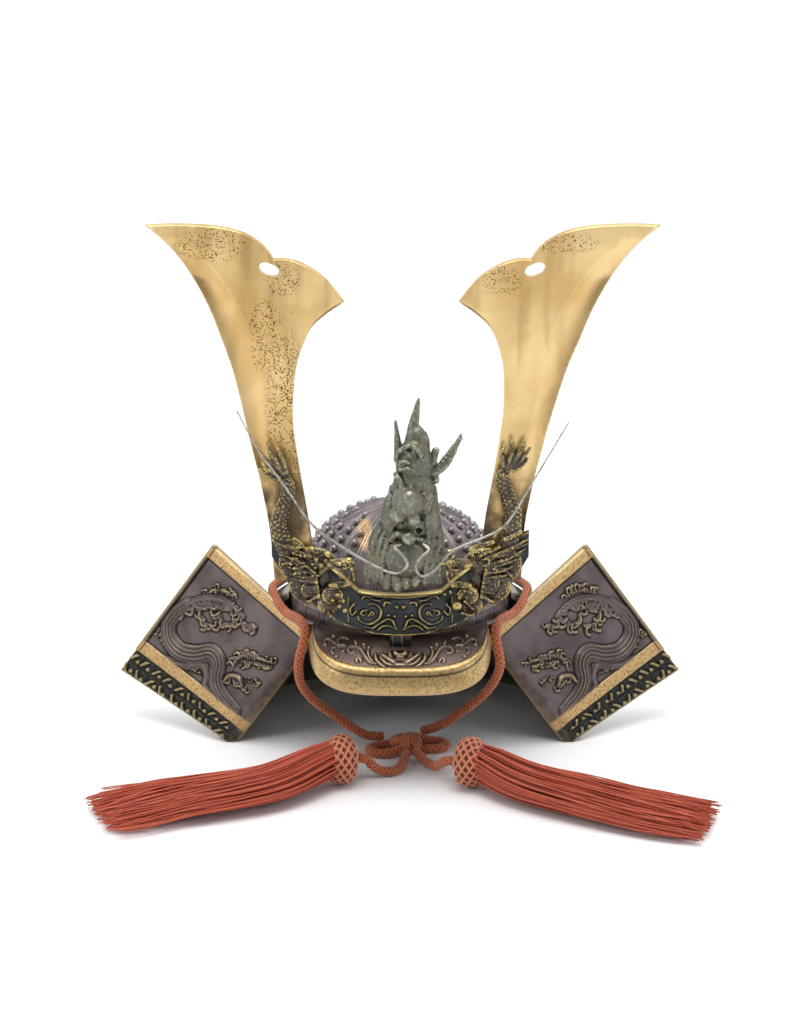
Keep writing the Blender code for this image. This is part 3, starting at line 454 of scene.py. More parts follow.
raised_mask(knot, "raised", 9, 0.24)
finish_piece(knot, cord_red, "cord_knot")

# %% [markdown]
# Each tassel hangs from a round head covered with a net of twisted thread, and spills some hundreds
# of threads that lie on the surface. A thread is a thin bar with five sides along its own line; all
# lines start inside the head and spread to their own places in the bundle.

# %% The tassels' threads and netted heads
silk_thread = Finish("tassel_thread", Sheen_Weight=0.3, Sheen_Roughness=0.4, Specular_IOR_Level=0.3)
twist = silk_thread.read("twist")
thread_red = silk_thread.finish(
    silk_thread.blend(twist, (0.30, 0.035, 0.018),
                      silk_thread.blend(silk_thread.noise(60.0), (0.50, 0.085, 0.040), (0.62, 0.13, 0.060))),
    silk_thread.noise(900.0) * 0.3 + 0.45)
silk_net = Finish("tassel_net", Sheen_Weight=0.3, Sheen_Roughness=0.5, Specular_IOR_Level=0.25)
# Near black in the low places between the net's raised diamonds is painted shade; the raised thread keeps its pink.
net_pink = silk_net.finish(
    silk_net.blend(silk_net.read("raised").step(-0.5, 0.6), (0.10, 0.020, 0.010),
                   silk_net.blend(silk_net.noise(120.0), (0.48, 0.13, 0.062), (0.66, 0.25, 0.13))),
    silk_net.noise(900.0) * 0.2 + 0.6)

THREADS = 320
HEAD_LENGTH, HEAD_RADIUS = 16.0, 13.5


def bundle_frame(route):
    line = smooth_line(route, 120)
    ahead = unit(np.gradient(line, axis=0))
    side = unit(np.cross(ahead, (0.0, 0.0, 1.0)))
    return line, ahead, side, np.cross(side, ahead)


def tassel_head(route):
    """A round head whose net stands up in diamonds, closed at both ends."""
    line, ahead, side, lift = bundle_frame(route)
    steps = np.r_[0, np.cumsum(np.linalg.norm(np.diff(line, axis=0), axis=1))]
    rings, sides = 64, 120
    along = np.linspace(0, HEAD_LENGTH, rings)
    profile = np.interp(along / HEAD_LENGTH, [0, 0.06, 0.2, 0.45, 0.75, 0.92, 1.0],
                        [0.20, 0.52, 0.84, 0.985, 0.93, 0.80, 0.62]) * HEAD_RADIUS
    turn = np.arange(sides) * math.tau / sides
    first = 13 * turn[None, :] + along[:, None] * 1.55
    second = 13 * turn[None, :] - along[:, None] * 1.55
    net = np.maximum(np.abs(np.cos(first / 2)) ** 5, np.abs(np.cos(second / 2)) ** 5)
    reach = profile[:, None] * 0.955 + 0.85 * net
    centre = np.column_stack([np.interp(along, steps, line[:, k]) for k in range(3)])
    s, u = side[2], lift[2]
    points = centre[:, None, :] + s * (reach * np.cos(turn))[..., None] + u * (reach * np.sin(turn))[..., None]
    points[..., 2] = np.maximum(points[..., 2], 0.05)
    faces = [tuple(f) for f in grid_faces(rings, sides, wrap=True)]
    faces.append(tuple(range(sides))[::-1])
    faces.append(tuple((rings - 1) * sides + k for k in range(sides)))
    return points.reshape(-1, 3), faces


def tassel_threads(route, seed, width_rows, height_rows):
    """Threads that fan out from the head; a few stray ones leave the bundle near its end."""
    chance = np.random.default_rng(seed)
    line, ahead, side, lift = bundle_frame(route)
    steps = np.r_[0, np.cumsum(np.linalg.norm(np.diff(line, axis=0), axis=1))]
    total = steps[-1]
    shapes = []
    shades = []
    stops = [0.0, 0.12, 0.3, 0.5, 0.7, 0.88, 1.0]
    for k in range(THREADS):
        ring = math.sqrt(chance.uniform(0.02, 1.0))
        turn = chance.uniform(0, math.tau)
        reach = total * chance.uniform(0.90, 0.985)
        along = np.linspace(HEAD_LENGTH * 0.55, reach, 16)
        share = np.clip((along - HEAD_LENGTH) / (total - HEAD_LENGTH), 0, 1)
        wide = np.interp(share, stops, width_rows) * ring
        high = np.interp(share, stops, height_rows) * ring
        sway = chance.uniform(-1, 1) * np.sin(share * math.pi * chance.uniform(0.7, 2.4)) * 3.6 * share
        lean = chance.normal(0, 2.2) * share ** 2
        place = np.column_stack([np.interp(along, steps, line[:, j]) for j in range(3)])
        across = np.column_stack([np.interp(along, steps, side[:, j]) for j in range(3)])
        upward = np.column_stack([np.interp(along, steps, lift[:, j]) for j in range(3)])
        spot = place + across * (wide * math.cos(turn) + sway + lean)[:, None] + upward * (
            high * math.sin(turn) + 0.8 * np.sin(share * 9 + k) * share)[:, None]
        spot[:, 2] = np.maximum(spot[:, 2], 0.42 + 0.25 * chance.random())
        shape = bar(smooth_line(spot, 18), 0.36, 5)
        shapes.append(shape)
        shades.append(np.full(len(shape[0]), np.clip(chance.normal(0.72, 0.22), 0, 1)))
    return merge(shapes), np.concatenate(shades)


TASSEL_LEFT_LINE = [(-23.0, -82.0, 13.2), (-38.0, -88.0, 13.5), (-65.0, -108.0, 10.0), (-90.0, -118.0, 8.5),
                    (-118.0, -125.0, 6.8), (-156.0, -140.0, 4.5)]
TASSEL_RIGHT_LINE = [(29.0, -86.0, 13.2), (44.0, -92.5, 13.5), (64.0, -108.0, 10.0), (90.0, -122.0, 8.5),
                     (120.0, -136.0, 6.8), (159.0, -150.0, 4.5)]
SPREAD = [10.5, 13.5, 18.0, 21.0, 23.0, 24.0, 22.0]
DEPTH = [10.5, 10.0, 8.6, 7.2, 5.6, 4.4, 3.0]
for side_name, route, seed in (("left", TASSEL_LEFT_LINE, 3), ("right", TASSEL_RIGHT_LINE, 5)):
    head = new_object(f"tassel_{side_name}_head", tassel_head(route))
    raised_mask(head, "raised", 14, 0.3)
    finish_piece(head, net_pink, f"tassel_{side_name}")
    shape, shade = tassel_threads(route, seed, SPREAD, DEPTH)
    threads = new_object(f"tassel_{side_name}_threads", shape)
    attribute(threads, "twist", shade)
    finish_piece(threads, thread_red, f"tassel_{side_name}")

# %% [markdown]
# The long loop begins and ends at the knot, and each short tail ends in a tassel's head.

# %% [markdown]
# The cast patina: smooth purple-brown in the field, near black in the hollows, and worn to gold on
# the raised edges where hands and cloth rub. One function makes it with each piece's own colours.


# %% The patina recipe
def patina(name, field, dark, rub, rub_from=0.15, rub_to=0.75, rough=0.42, speck=0.25, grains=0.0, **zones):
    """A cast finish; zones maps an attribute's name to the colour that replaces the field there."""
    cast = Finish(name, Metallic=0.85, Specular_IOR_Level=0.5)
    raised = cast.read("raised")
    cloud = cast.noise(55.0, 4.0, 0.6)
    fine = cast.noise(420.0, 3.0, 0.6)
    light = tuple(min(1.0, c * 1.55 + 0.012) for c in field)
    colour = cast.blend(cloud.step(0.35, 0.7), field, light)
    roughness = fine * 0.22 + (rough - 0.06)
    grain = fine * 0.5 + cast.noise(1500.0, 2.0) * 0.35
    for zone, zone_colour in zones.items():
        share = cast.read(zone)
        worn = cast.blend(cast.noise(820.0, 4.0, 0.7).step(0.46, 0.66), zone_colour,
                          tuple(min(1.0, c * s) for c, s in zip(zone_colour, (0.42, 0.34, 0.28))))
        worn = cast.blend(cast.noise(60.0, 3.0).step(0.50, 0.75) * 0.6, worn,
                          tuple(min(1.0, c * s) for c, s in zip(zone_colour, (0.80, 0.62, 0.45))))
        colour = cast.blend(share, colour, worn)
    pits = (cast.cells(520.0).step(0.10, 0.24) * -1.0 + 1.0) * cast.noise(70.0).step(0.50, 0.62)
    hollow = (raised * -1.0).step(0.08, 0.75)
    colour = cast.blend((hollow + pits * speck).clamp(), colour, dark)
    high = raised + (cast.noise(240.0, 4.0, 0.7) - 0.5) * 0.75
    if grains:
        # Small scales: each cell of the grid of scattered points is a bump, worn on top
        scale_bump = (cast.cells(grains) * -1.0 + 0.45).clamp() * 2.0
        high = high + (scale_bump - 0.42) * 0.9
        grain = grain + scale_bump * 2.6
    wear = high.step(rub_from, rub_to)
    colour = cast.blend(wear, colour, rub)
    return cast.finish(colour, (roughness - wear * 0.10).clamp(), grain - pits * 1.2, 0.00016)


bronze = patina("plate_bronze", (0.088, 0.068, 0.068), (0.018, 0.018, 0.016), (0.38, 0.29, 0.14),
                0.36, 1.2, 0.34, brass=(0.56, 0.38, 0.18), border=(0.040, 0.044, 0.040))
print("cast finishes ready")

# %% [markdown]
# Cast relief is a height over a plain face. Each ridge is a stroke along a drawn route: the height
# at a point comes from how far it lies from the route, and fine grooves follow the stroke. Foam
# curls are short strokes that hook round, with a small ball at the tip.


# %% Strokes of relief
def stroke(height, spots, route, width, rise, ridges=0, ends=(0.6, 0.5), sharp=0.7, count=70):
    """Raise a stroke of the relief. ends are the widths at its two ends, in shares of the middle."""
    line = smooth_line(route, count)
    reach = width * 1.05
    near = np.flatnonzero(((spots > line.min(0) - reach) & (spots < line.max(0) + reach)).all(1))
    if not len(near):
        return
    offset = spots[near][:, None, :] - line[None]
    distance = (offset ** 2).sum(-1)
    nearest = distance.argmin(1)
    picked = offset[np.arange(len(near)), nearest]
    ahead = unit(np.gradient(line, axis=0))[nearest]
    signed = ahead[:, 0] * picked[:, 1] - ahead[:, 1] * picked[:, 0]
    away = np.sqrt(distance.min(1))
    share = nearest / (count - 1)
    local = width * np.interp(share, [0, 0.25, 0.7, 1], [ends[0], 1.0, 1.0, ends[1]])
    dome = np.clip(1 - (away / local) ** 2, 0, 1) ** sharp
    if ridges:
        dome = dome * (0.62 + 0.38 * np.abs(np.cos(math.pi * ridges * signed / (2 * local))) ** 0.7)
    height[near] = np.maximum(height[near], dome * rise * np.interp(share, [0, 0.2, 0.8, 1], [0.75, 1, 1, 0.75]))


def curl(height, spots, place, heading, size, turn, rise):
    """A hooked foam claw with a ball at its tip."""
    spot = np.array(place, float)
    route = [spot.copy()]
    angle = heading
    for k in range(7):
        angle += turn * (0.10 + 0.075 * k)
        spot = spot + size * 0.17 * np.array([math.cos(angle), math.sin(angle)])
        route.append(spot.copy())
    stroke(height, spots, route, size * 0.17, rise, ends=(1.0, 0.8), sharp=0.6, count=26)
    ball = ((spots - route[-1]) ** 2).sum(1) / (size * 0.19) ** 2
    height[:] = np.maximum(height, np.sqrt(np.clip(1 - ball, 0, 1)) * rise * 1.1)


def foam(height, spots, route, count, size, lean, chance, rise=1.2):
    """A crest of foam: claws along a route, each leaning off it and hooking its own way."""
    count = int(count * 1.6)
    line = smooth_line(route, count)
    ahead = np.gradient(line, axis=0)
    for k in range(count):
        heading = math.atan2(ahead[k, 1], ahead[k, 0]) + lean + chance.uniform(-0.35, 0.35)
        curl(height, spots, line[k], heading, size * chance.uniform(0.55, 0.9),
             1.0 if chance.random() < 0.6 else -1.0, rise * chance.uniform(0.8, 1.1))


# %% [markdown]
# A turnback is a thick plate folded out from the guard's front end. Its face has a rough brass band
# along the top and above the border, a great wave in cast relief, a raised lip at its outer edge,
# and a border of small cells, each with a dot and a slanting dash. The fold rolls softly backwards.

# %% The turnbacks' faces
PLATE_WIDTH, PLATE_WALL = 79.1, 4.0
FOLD_TOP = np.array([-52.9, -24.6, 62.1])
PLATE_U = np.array([-0.6556, 0.5699, 0.4955])
PLATE_V = np.array([-0.5884, 0.0245, -0.8082])
PLATE_U = unit(PLATE_U)
PLATE_V = unit(PLATE_V - PLATE_U * PLATE_U.dot(PLATE_V))
PLATE_OUT = np.cross(PLATE_V, PLATE_U)
if PLATE_OUT[1] > 0:
    PLATE_OUT = -PLATE_OUT

WAVE_BODY = [(69.5, 36.0), (71.5, 44.0), (71.1, 52.1), (65.1, 57.8), (55.4, 58.6), (46.2, 53.5), (39.3, 46.0),
             (31.9, 46.9), (26.6, 54.7), (18.2, 58.6), (5.0, 59.3)]
WAVE_FOOT = [(76.8, 66.9), (75.5, 70.4), (65.7, 70.2), (54.4, 66.3), (45.5, 60.3), (38.6, 54.3), (32.0, 57.0),
             (28.7, 62.1), (16.9, 63.1), (3.5, 62.1)]
WAVE_RIM = [(68.8, 61.4), (71.6, 50.4), (70.2, 39.0), (64.5, 28.4), (55.4, 20.7), (45.2, 17.3), (36.5, 17.2)]
FOAM_LINES = [
    ([(69.5, 41.0), (64.5, 31.0), (58.0, 24.5)], 9, 7.5, -1.2), ([(62.5, 34.0), (56.0, 27.0), (48.0, 22.0)], 8, 7.0, 1.2),
    ([(64.6, 24.3), (58.0, 16.4), (49.0, 13.4)], 8, 5.5, 1.0), ([(54.0, 20.5), (46.0, 16.5), (38.5, 17.5)], 7, 6.5, -1.0),
    ([(60.0, 33.5), (54.0, 36.0), (49.0, 34.0)], 5, 7.0, -0.8), ([(50.0, 25.5), (44.0, 28.0), (39.0, 24.0)], 6, 7.0, -0.9),
    ([(38.5, 18.0), (33.0, 19.5), (29.0, 16.5)], 5, 6.5, -1.0), ([(23.4, 41.5), (22.0, 34.0), (15.0, 30.0)], 7, 5.5, 1.1),
    ([(20.5, 36.0), (13.5, 31.0), (6.0, 27.0)], 7, 5.0, -1.1), ([(15.0, 29.5), (9.0, 26.0), (3.5, 23.0)], 5, 4.0, 0.9),
    ([(20.0, 47.5), (14.0, 45.5), (9.0, 45.0)], 4, 5.5, -1.2), ([(12.5, 40.5), (8.0, 37.5), (4.5, 37.0)], 4, 4.0, -1.0),
    ([(72.5, 63.0), (70.0, 58.5), (66.3, 62.0)], 5, 4.5, 0.9), ([(48.0, 62.5), (43.0, 61.5), (38.5, 60.0)], 4, 4.5, 0.8)]


def plate_relief(across, down, lower, chance):
    """Height of the plate's face, and where it is brass or border."""
    spots = np.column_stack([across, down])
    height = np.zeros(len(spots))
    stroke(height, spots, WAVE_BODY, 5.6, 1.9, ridges=5, ends=(0.75, 0.75))
    stroke(height, spots, WAVE_FOOT, 2.7, 1.25, ridges=2, ends=(0.4, 0.8))
    stroke(height, spots, WAVE_RIM, 2.6, 1.3, ridges=2, ends=(0.6, 0.6))
    stroke(height, spots, [(60.0, 56.0), (50.0, 50.5), (41.0, 42.5), (31.5, 42.5), (25.0, 50.0)], 1.0, 1.2)
    stroke(height, spots, [(22.5, 44.0), (23.8, 37.0), (20.0, 30.5), (12.0, 27.0), (4.0, 23.5)], 1.1, 1.0)
    stroke(height, spots, [(22.0, 52.0), (21.0, 47.0), (16.0, 44.0), (11.0, 45.5)], 1.7, 1.5)
    for route, count, size, lean in FOAM_LINES:
        foam(height, spots, route, count, size, lean, chance)
    band_low = np.interp(across, [2.9, 78.4], [2.1, 7.7])
    band_top = np.interp(across, [0, PLATE_WIDTH], [-3.5, 0])
    low_top = np.interp(across, [-2.9, 77.9], [58.1, 69.2])
    low_end = np.interp(across, [-3.3, 79.1], [64.4, 77.1])

    def between(low, high, soft=0.5):
        return np.clip(np.minimum(down - low, high - down) / soft, 0, 1)
    upper = between(band_top + 0.8, band_low)
    lower_band = between(low_top, low_end)
    height = height * (1 - lower_band) * (1 - upper)
    height += 0.9 * upper + 0.9 * lower_band
    lip = np.clip((across - (PLATE_WIDTH - 2.6)) / 0.6, 0, 1) * np.clip((low_end - down) / 0.5, 0, 1)
    groove = np.clip(1 - np.abs(across - (PLATE_WIDTH - 3.2)) / 0.6, 0, 1) * np.clip((low_end - down) / 0.5, 0, 1)
    height = np.maximum(height, 1.0 * lip) - 0.5 * groove
    share = (down - low_end) / (lower - low_end)
    border = np.clip((down - low_end) / 0.4, 0, 1)
    columns, rows = 9, 2
    column, row = across / PLATE_WIDTH * columns, share * rows
    u, v = column - np.floor(column), row - np.floor(row)
    cell = (np.floor(column) * 2 + np.floor(row)).astype(int) % 18
    jitter = chance.uniform(-0.08, 0.08, (18, 4))[cell]
    wall = np.minimum(np.minimum(u, 1 - u), np.minimum(v, 1 - v))
    cells = 0.5 * np.clip(wall / 0.07, 0, 1)
    dot = np.clip(1 - ((u - 0.30 - jitter[:, 0]) ** 2 + (v - 0.62 - jitter[:, 1]) ** 2) / 0.034, 0, 1) ** 0.5
    a0, b0 = u - 0.74 - jitter[:, 2], v - 0.5
    slant = np.abs(a0 * 0.86 - b0 * 0.50 * np.sign(jitter[:, 3]))
    dash = np.clip(1 - (slant / 0.14) ** 2, 0, 1) ** 0.5 * np.clip((0.36 - np.abs(b0)) / 0.1, 0, 1)
    height += border * (cells + np.maximum(1.15 * dot, 1.3 * dash) - 0.2)
    return height, np.clip(upper + lower_band, 0, 1), border


def turnback(side, chance):
    """One plate with its face, soft fold and flat back."""
    columns, rows, roll_columns, roll_radius = 176, 195, 12, 5.5
    across = np.r_[np.linspace(-1, 0, roll_columns, endpoint=False), np.linspace(0, PLATE_WIDTH, columns)]
    share = np.linspace(0, 1, rows)
    a, t = np.meshgrid(across, share, indexing="ij")
    top = np.interp(a, [0, PLATE_WIDTH], [-3.5, 0])
    lower = 75.6 + np.clip(a, 0, None) / PLATE_WIDTH * 17.2
    reach = (FOLD_TOP[2] - 0.35 + PLATE_OUT[2] * 0) / -PLATE_V[2]
    lower = np.where(a <= 0, reach, np.minimum(lower, 200))
    d = top + (lower - top) * t
    height, brass, border = plate_relief(np.clip(a, 0, None).ravel(), d.ravel(), lower.ravel(), chance)
    height, brass, border = (v.reshape(a.shape) for v in (height, brass, border))
    height = height * np.clip((a + 0.2) / 3.0, 0, 1) ** 0.5
    edge = np.minimum(np.minimum((PLATE_WIDTH - a), (lower - d)), d - top)
    height = height - 0.9 * (1 - np.sqrt(np.clip(edge / 1.1, 0, 1)))
    bend = np.clip(-a, 0, 1) * math.radians(82)
    along = np.where(a < 0, -roll_radius * np.sin(bend), a)
    back = np.where(a < 0, roll_radius * (1 - np.cos(bend)), 0.0)
    sag = 1.4 * np.sin(np.clip(a / PLATE_WIDTH, 0, 1) * math.pi) * 0.35
    points = (FOLD_TOP + along[..., None] * PLATE_U + d[..., None] * PLATE_V
              + (height - back - sag)[..., None] * PLATE_OUT)
    points[..., 2] = np.maximum(points[..., 2], 0.3)
    count = a.shape[0]
    points = points.reshape(-1, 3)
    faces = [tuple(f) for f in grid_faces(count, rows)]
    rim = ([i * rows for i in range(count)] + [(count - 1) * rows + j for j in range(1, rows)]
           + [i * rows + rows - 1 for i in range(count - 2, -1, -1)] + [j for j in range(rows - 2, 0, -1)])
    flat = FOLD_TOP - PLATE_WALL * PLATE_OUT
    back_rim = points[rim] - ((points[rim] - flat) @ PLATE_OUT)[:, None] * PLATE_OUT
    rolled = ((points[rim] - flat) @ PLATE_OUT) < 1.0
    back_rim[rolled] = points[rim][rolled] + PLATE_U * 2.0 - PLATE_OUT * 0.2
    back_rim[:, 2] = np.maximum(back_rim[:, 2], 0.3)
    start = len(points)
    total = len(rim)
    for k in range(total):
        m = (k + 1) % total
        faces.append((rim[k], rim[m], start + m, start + k))
    faces.append(tuple(start + k for k in range(total)))
    shape = (np.vstack([points, back_rim]), faces)
    zones = [np.r_[v.ravel(), np.zeros(total)] for v in (brass, border)]
    return (shape if side == "left" else mirrored(shape)), zones


for side_name, seed in (("left", 11), ("right", 12)):
    shape, (brass_zone, border_zone) = turnback(side_name, np.random.default_rng(seed))
    plate = new_object(f"turnback_{side_name}_plate", shape)
    attribute(plate, "brass", brass_zone)
    attribute(plate, "border", border_zone)
    raised_mask(plate, "raised", 16, 0.30)
    finish_piece(plate, bronze, f"turnback_{side_name}")
    plate.data.set_sharp_from_angle(angle=math.radians(60))

# %% [markdown]
# The horns are sheet-like brass castings with a crisp hollow flute down the outer side. The face is
# a grid of points between the two drawn edges, so that the flute and the rounded rim can be set by
# height; the bean-shaped hole is then cut through with a Boolean, as on the real piece.

# %% The horns
HORN_OUTER = [(-131.1, 290.0), (-121.6, 281.8), (-113.1, 272.0), (-105.2, 259.0), (-98.8, 246.0), (-93.1, 230.7),
              (-87.5, 213.8), (-82.6, 193.0), (-78.2, 172.6), (-74.3, 156.4), (-70.5, 136.2), (-68.6, 121.9),
              (-67.0, 100.4)]
HORN_INNER = [(-28.9, 250.4), (-38.3, 243.9), (-45.6, 237.0), (-50.3, 227.8), (-54.1, 215.7), (-55.9, 199.4),
              (-56.0, 185.0), (-54.6, 172.6), (-52.2, 156.4), (-48.7, 134.5), (-46.6, 118.0), (-46.3, 100.4)]
HORN_TOP_OUTER = [(-131.1, 290.0), (-118.0, 290.6), (-104.5, 290.3), (-92.7, 289.3), (-83.0, 287.0), (-75.4, 283.4),
                  (-69.3, 278.6), (-65.2, 272.6)]
HORN_TOP_INNER = [(-65.2, 272.6), (-60.5, 272.8), (-54.0, 271.6), (-47.8, 269.0), (-40.2, 264.0), (-34.6, 258.0),
                  (-28.9, 250.4)]
FLUTE_RIDGE = [(-110.0, 279.0), (-101.0, 271.5), (-93.2, 262.5), (-85.7, 250.5), (-79.6, 238.1), (-75.3, 226.0),
               (-72.8, 213.8), (-71.3, 199.4), (-70.0, 180.0), (-68.0, 160.0), (-65.5, 140.0), (-63.5, 120.0),
               (-62.0, 100.0)]
HORN_FACE_Y, HORN_THICK = -47.1, 3.6
HOLE = (-67.6, 267.2)


def horn(side):
    rows, columns = 160, 74
    outer, inner = smooth_line(HORN_OUTER, rows), smooth_line(HORN_INNER, rows)
    top = np.vstack([smooth_line(HORN_TOP_OUTER, 60), smooth_line(HORN_TOP_INNER, 48)[1:]])
    along = np.r_[0, np.cumsum(np.linalg.norm(np.diff(top, axis=0), axis=1))]
    top = np.column_stack([np.interp(np.linspace(0, along[-1], columns), along, top[:, k]) for k in range(2)])
    share = np.linspace(0, 1, rows)[:, None, None]
    cross = np.linspace(0, 1, columns)[None, :, None]
    straight = outer[:, None, :] * (1 - cross) + inner[:, None, :] * cross
    arch = (top - (outer[0] * (1 - cross[0]) + inner[0] * cross[0]))[None]
    flat = straight + arch * (1 - share) ** 3.0
    spots = flat.reshape(-1, 2)
    ridge = smooth_line(FLUTE_RIDGE, 300)
    place = ridge[((spots[:, None, 1] - ridge[None, :, 1]) ** 2).argmin(1)]
    rim = np.vstack([outer, inner, top])
    edge = np.sqrt(((spots[:, None, :] - rim[None, ::3]) ** 2).sum(-1).min(1)).reshape(rows, columns)
    edge[0] = edge[:, 0] = edge[:, -1] = 0
    beyond = np.clip(place[:, 0] - spots[:, 0], 0, None)
    reach = np.clip(place[:, 0] - np.repeat(outer[:, None, 0], columns, 1).ravel(), 1.0, None)
    deep = np.sin(np.clip(beyond / reach, 0, 1) ** 0.75 * math.pi * 0.80) * np.clip(reach / 14.0, 0.15, 1.0)
    fade = np.clip((283.0 - spots[:, 1]) / 20.0, 0, 1)
    face = HORN_FACE_Y + 3.0 * (deep * fade).reshape(rows, columns)
    face += 1.1 * np.clip((place[:, 0] - spots[:, 0] + 16) / 16, 0, 1).reshape(rows, columns) * 0.35
    inner_wing = np.clip((spots[:, 0] + 62) / 34, 0, 1) * np.clip((spots[:, 1] - 205) / 40, 0, 1)
    face += -1.6 * (inner_wing ** 1.6).reshape(rows, columns)
    soft = 1.3
    ease = soft * (1 - np.sqrt(np.clip(1 - (1 - np.clip(edge / soft, 0, 1)) ** 2, 0, 1)))
    front = np.dstack([flat[..., 0], np.minimum(face + ease, HORN_FACE_Y + 3.4), flat[..., 1]]).reshape(-1, 3)
    behind = front.copy()
    behind[:, 1] = HORN_FACE_Y + 4.6 + 0.5 * face.ravel() - 0.5 * HORN_FACE_Y - ease.ravel() * 0.5
    count = len(front)
    faces = [tuple(f) for f in grid_faces(rows, columns)]
    faces += [tuple(f[::-1] + count) for f in grid_faces(rows, columns)]
    rim_index = ([i * columns for i in range(rows)] + [(rows - 1) * columns + j for j in range(1, columns)]
                 + [i * columns + columns - 1 for i in range(rows - 2, -1, -1)] + list(range(columns - 2, 0, -1)))
    for k, i in enumerate(rim_index):
        j = rim_index[(k + 1) % len(rim_index)]
        faces.append((i, j, j + count, i + count))
    shape = (np.vstack([front, behind]), faces)
    return shape if side == "left" else leaned(mirrored(shape))


def leaned(shape):
    """The right horn leans out a little more than the left one: in at its foot, out at its tip."""
    points = np.array(shape[0])
    points[:, 0] += np.interp(points[:, 2], [100, 135, 180, 230, 292], [-2.5, -3.6, -3.2, 0.4, 2.6])
    return points, shape[1]


def hole_cutter(side):
    turn = np.linspace(0, math.tau, 40, endpoint=False)
    lobes = 1 - 0.20 * np.cos(turn + 0.5) ** 2 * 0 - 0.16 * np.exp(-((turn - math.pi / 2) / 0.5) ** 2)
    lobes = lobes - 0.13 * np.exp(-((turn - 3 * math.pi / 2) / 0.5) ** 2)
    tilt = math.radians(-22)
    x, z = 5.3 * lobes * np.cos(turn), 3.5 * lobes * np.sin(turn)
    outline = np.column_stack([x * math.cos(tilt) - z * math.sin(tilt), x * math.sin(tilt) + z * math.cos(tilt)])
    outline = outline + np.array(HOLE)
    rings = [np.column_stack([outline[:, 0], np.full(40, y), outline[:, 1]]) for y in (-60.0, -36.0)]
    faces = [tuple(f) for f in grid_faces(2, 40, wrap=True)] + [tuple(range(40))[::-1], tuple(range(40, 80))]
    shape = (np.vstack(rings), faces)
    return shape if side == "left" else leaned(mirrored(shape))


def brass_finish(name, pit_spots, foot_dark_top):
    """Polished brass: cloudy warm tone, dark pits in patches, fine scratches and patchy near-black darkening towards
    the foot.
    """
    brass = Finish(name, Metallic=1.0, Specular_IOR_Level=0.5)
    cloud = brass.noise(28.0, 3.0, 0.5)
    streak = brass.noise(9.0, 3.0, 0.55, brass.stretched((6.0, 1.0, 0.8)))
    colour = brass.blend(cloud.step(0.32, 0.72), (0.56, 0.37, 0.15), (0.74, 0.55, 0.27))
    colour = brass.blend(streak.step(0.48, 0.72) * 0.75, colour, (0.36, 0.215, 0.080))
    x, z = brass.axis("X"), brass.axis("Z")
    patches = None
    for cx, cz, rx, rz in pit_spots:
        dx, dz = (x - cx) * (1 / rx), (z - cz) * (1 / rz)
        near = (dx * dx + dz * dz).step(0.35, 1.0) * -1.0 + 1.0
        patches = near if patches is None else patches.maths("MAXIMUM", near)
    big = (brass.cells(230.0).step(0.13, 0.20) * -1.0 + 1.0) * brass.noise(95.0).step(0.52, 0.56)
    small = (brass.cells(900.0).step(0.24, 0.40) * -1.0 + 1.0) * brass.noise(160.0).step(0.36, 0.46)
    pits = (patches * small + big * (patches * 0.75 + 0.10)).clamp()
    # Below a given height the brass turns patchy and near black, darker towards the foot.
    foot_darkening = (z.step(foot_dark_top, foot_dark_top + 0.045) * -1.0 + 1.0) * brass.noise(70.0, 4.0).step(0.30, 0.62)
    colour = brass.blend(pits * 0.9, colour, (0.16, 0.085, 0.030))
    colour = brass.blend(foot_darkening * 0.85, colour, (0.055, 0.045, 0.038))
    scratch = brass.noise(30.0, 2.0, 0.5, brass.stretched((30.0, 1.0, 1.2))).step(0.60, 0.66)
    return brass.finish(colour, (brass.noise(45.0, 4.0) * 0.16 + 0.20 + pits * 0.35 + foot_darkening * 0.25).clamp(),
                        (pits * -1.0) + scratch * 0.10 + brass.noise(700.0) * 0.06, 0.0003)


LEFT_PITS = [(-0.097, 0.280, 0.022, 0.010), (-0.060, 0.262, 0.010, 0.012), (-0.070, 0.240, 0.010, 0.014),
             (-0.059, 0.192, 0.013, 0.052), (-0.068, 0.225, 0.012, 0.014)]
RIGHT_PITS = [(0.085, 0.281, 0.020, 0.006), (0.052, 0.262, 0.012, 0.009)]
for side_name, pit_spots, foot_dark_top in (("left", LEFT_PITS, 0.140), ("right", RIGHT_PITS, 0.132)):
    blade = new_object(f"horn_{side_name}_blade", horn(side_name))
    cutter = new_object("hole_cutter", hole_cutter(side_name))
    deselect()
    bpy.context.view_layer.objects.active = blade
    blade.select_set(True)
    cut = blade.modifiers.new("hole", "BOOLEAN")
    cut.object = cutter
    cut.operation = "DIFFERENCE"
    bpy.ops.object.modifier_apply(modifier="hole")
    bpy.data.objects.remove(cutter, do_unlink=True)
    blade.data.set_sharp_from_angle(angle=math.radians(50))
    finish_piece(blade, brass_finish(f"horn_brass_{side_name}", pit_spots, foot_dark_top), f"horn_{side_name}")

# %% [markdown]
# The bowl is a half ball whose plates meet in thin raised double lines, with a row of round studs on
# each plate. The shell is turned on the axis, and its lines are height over the ball. One stud is
# cut from a sphere, and the rest are copies set square to the ball.

# %% The bowl's shell
BOWL_RADIUS, RIM_Z = 60.0, 72.0
PLATES = 24


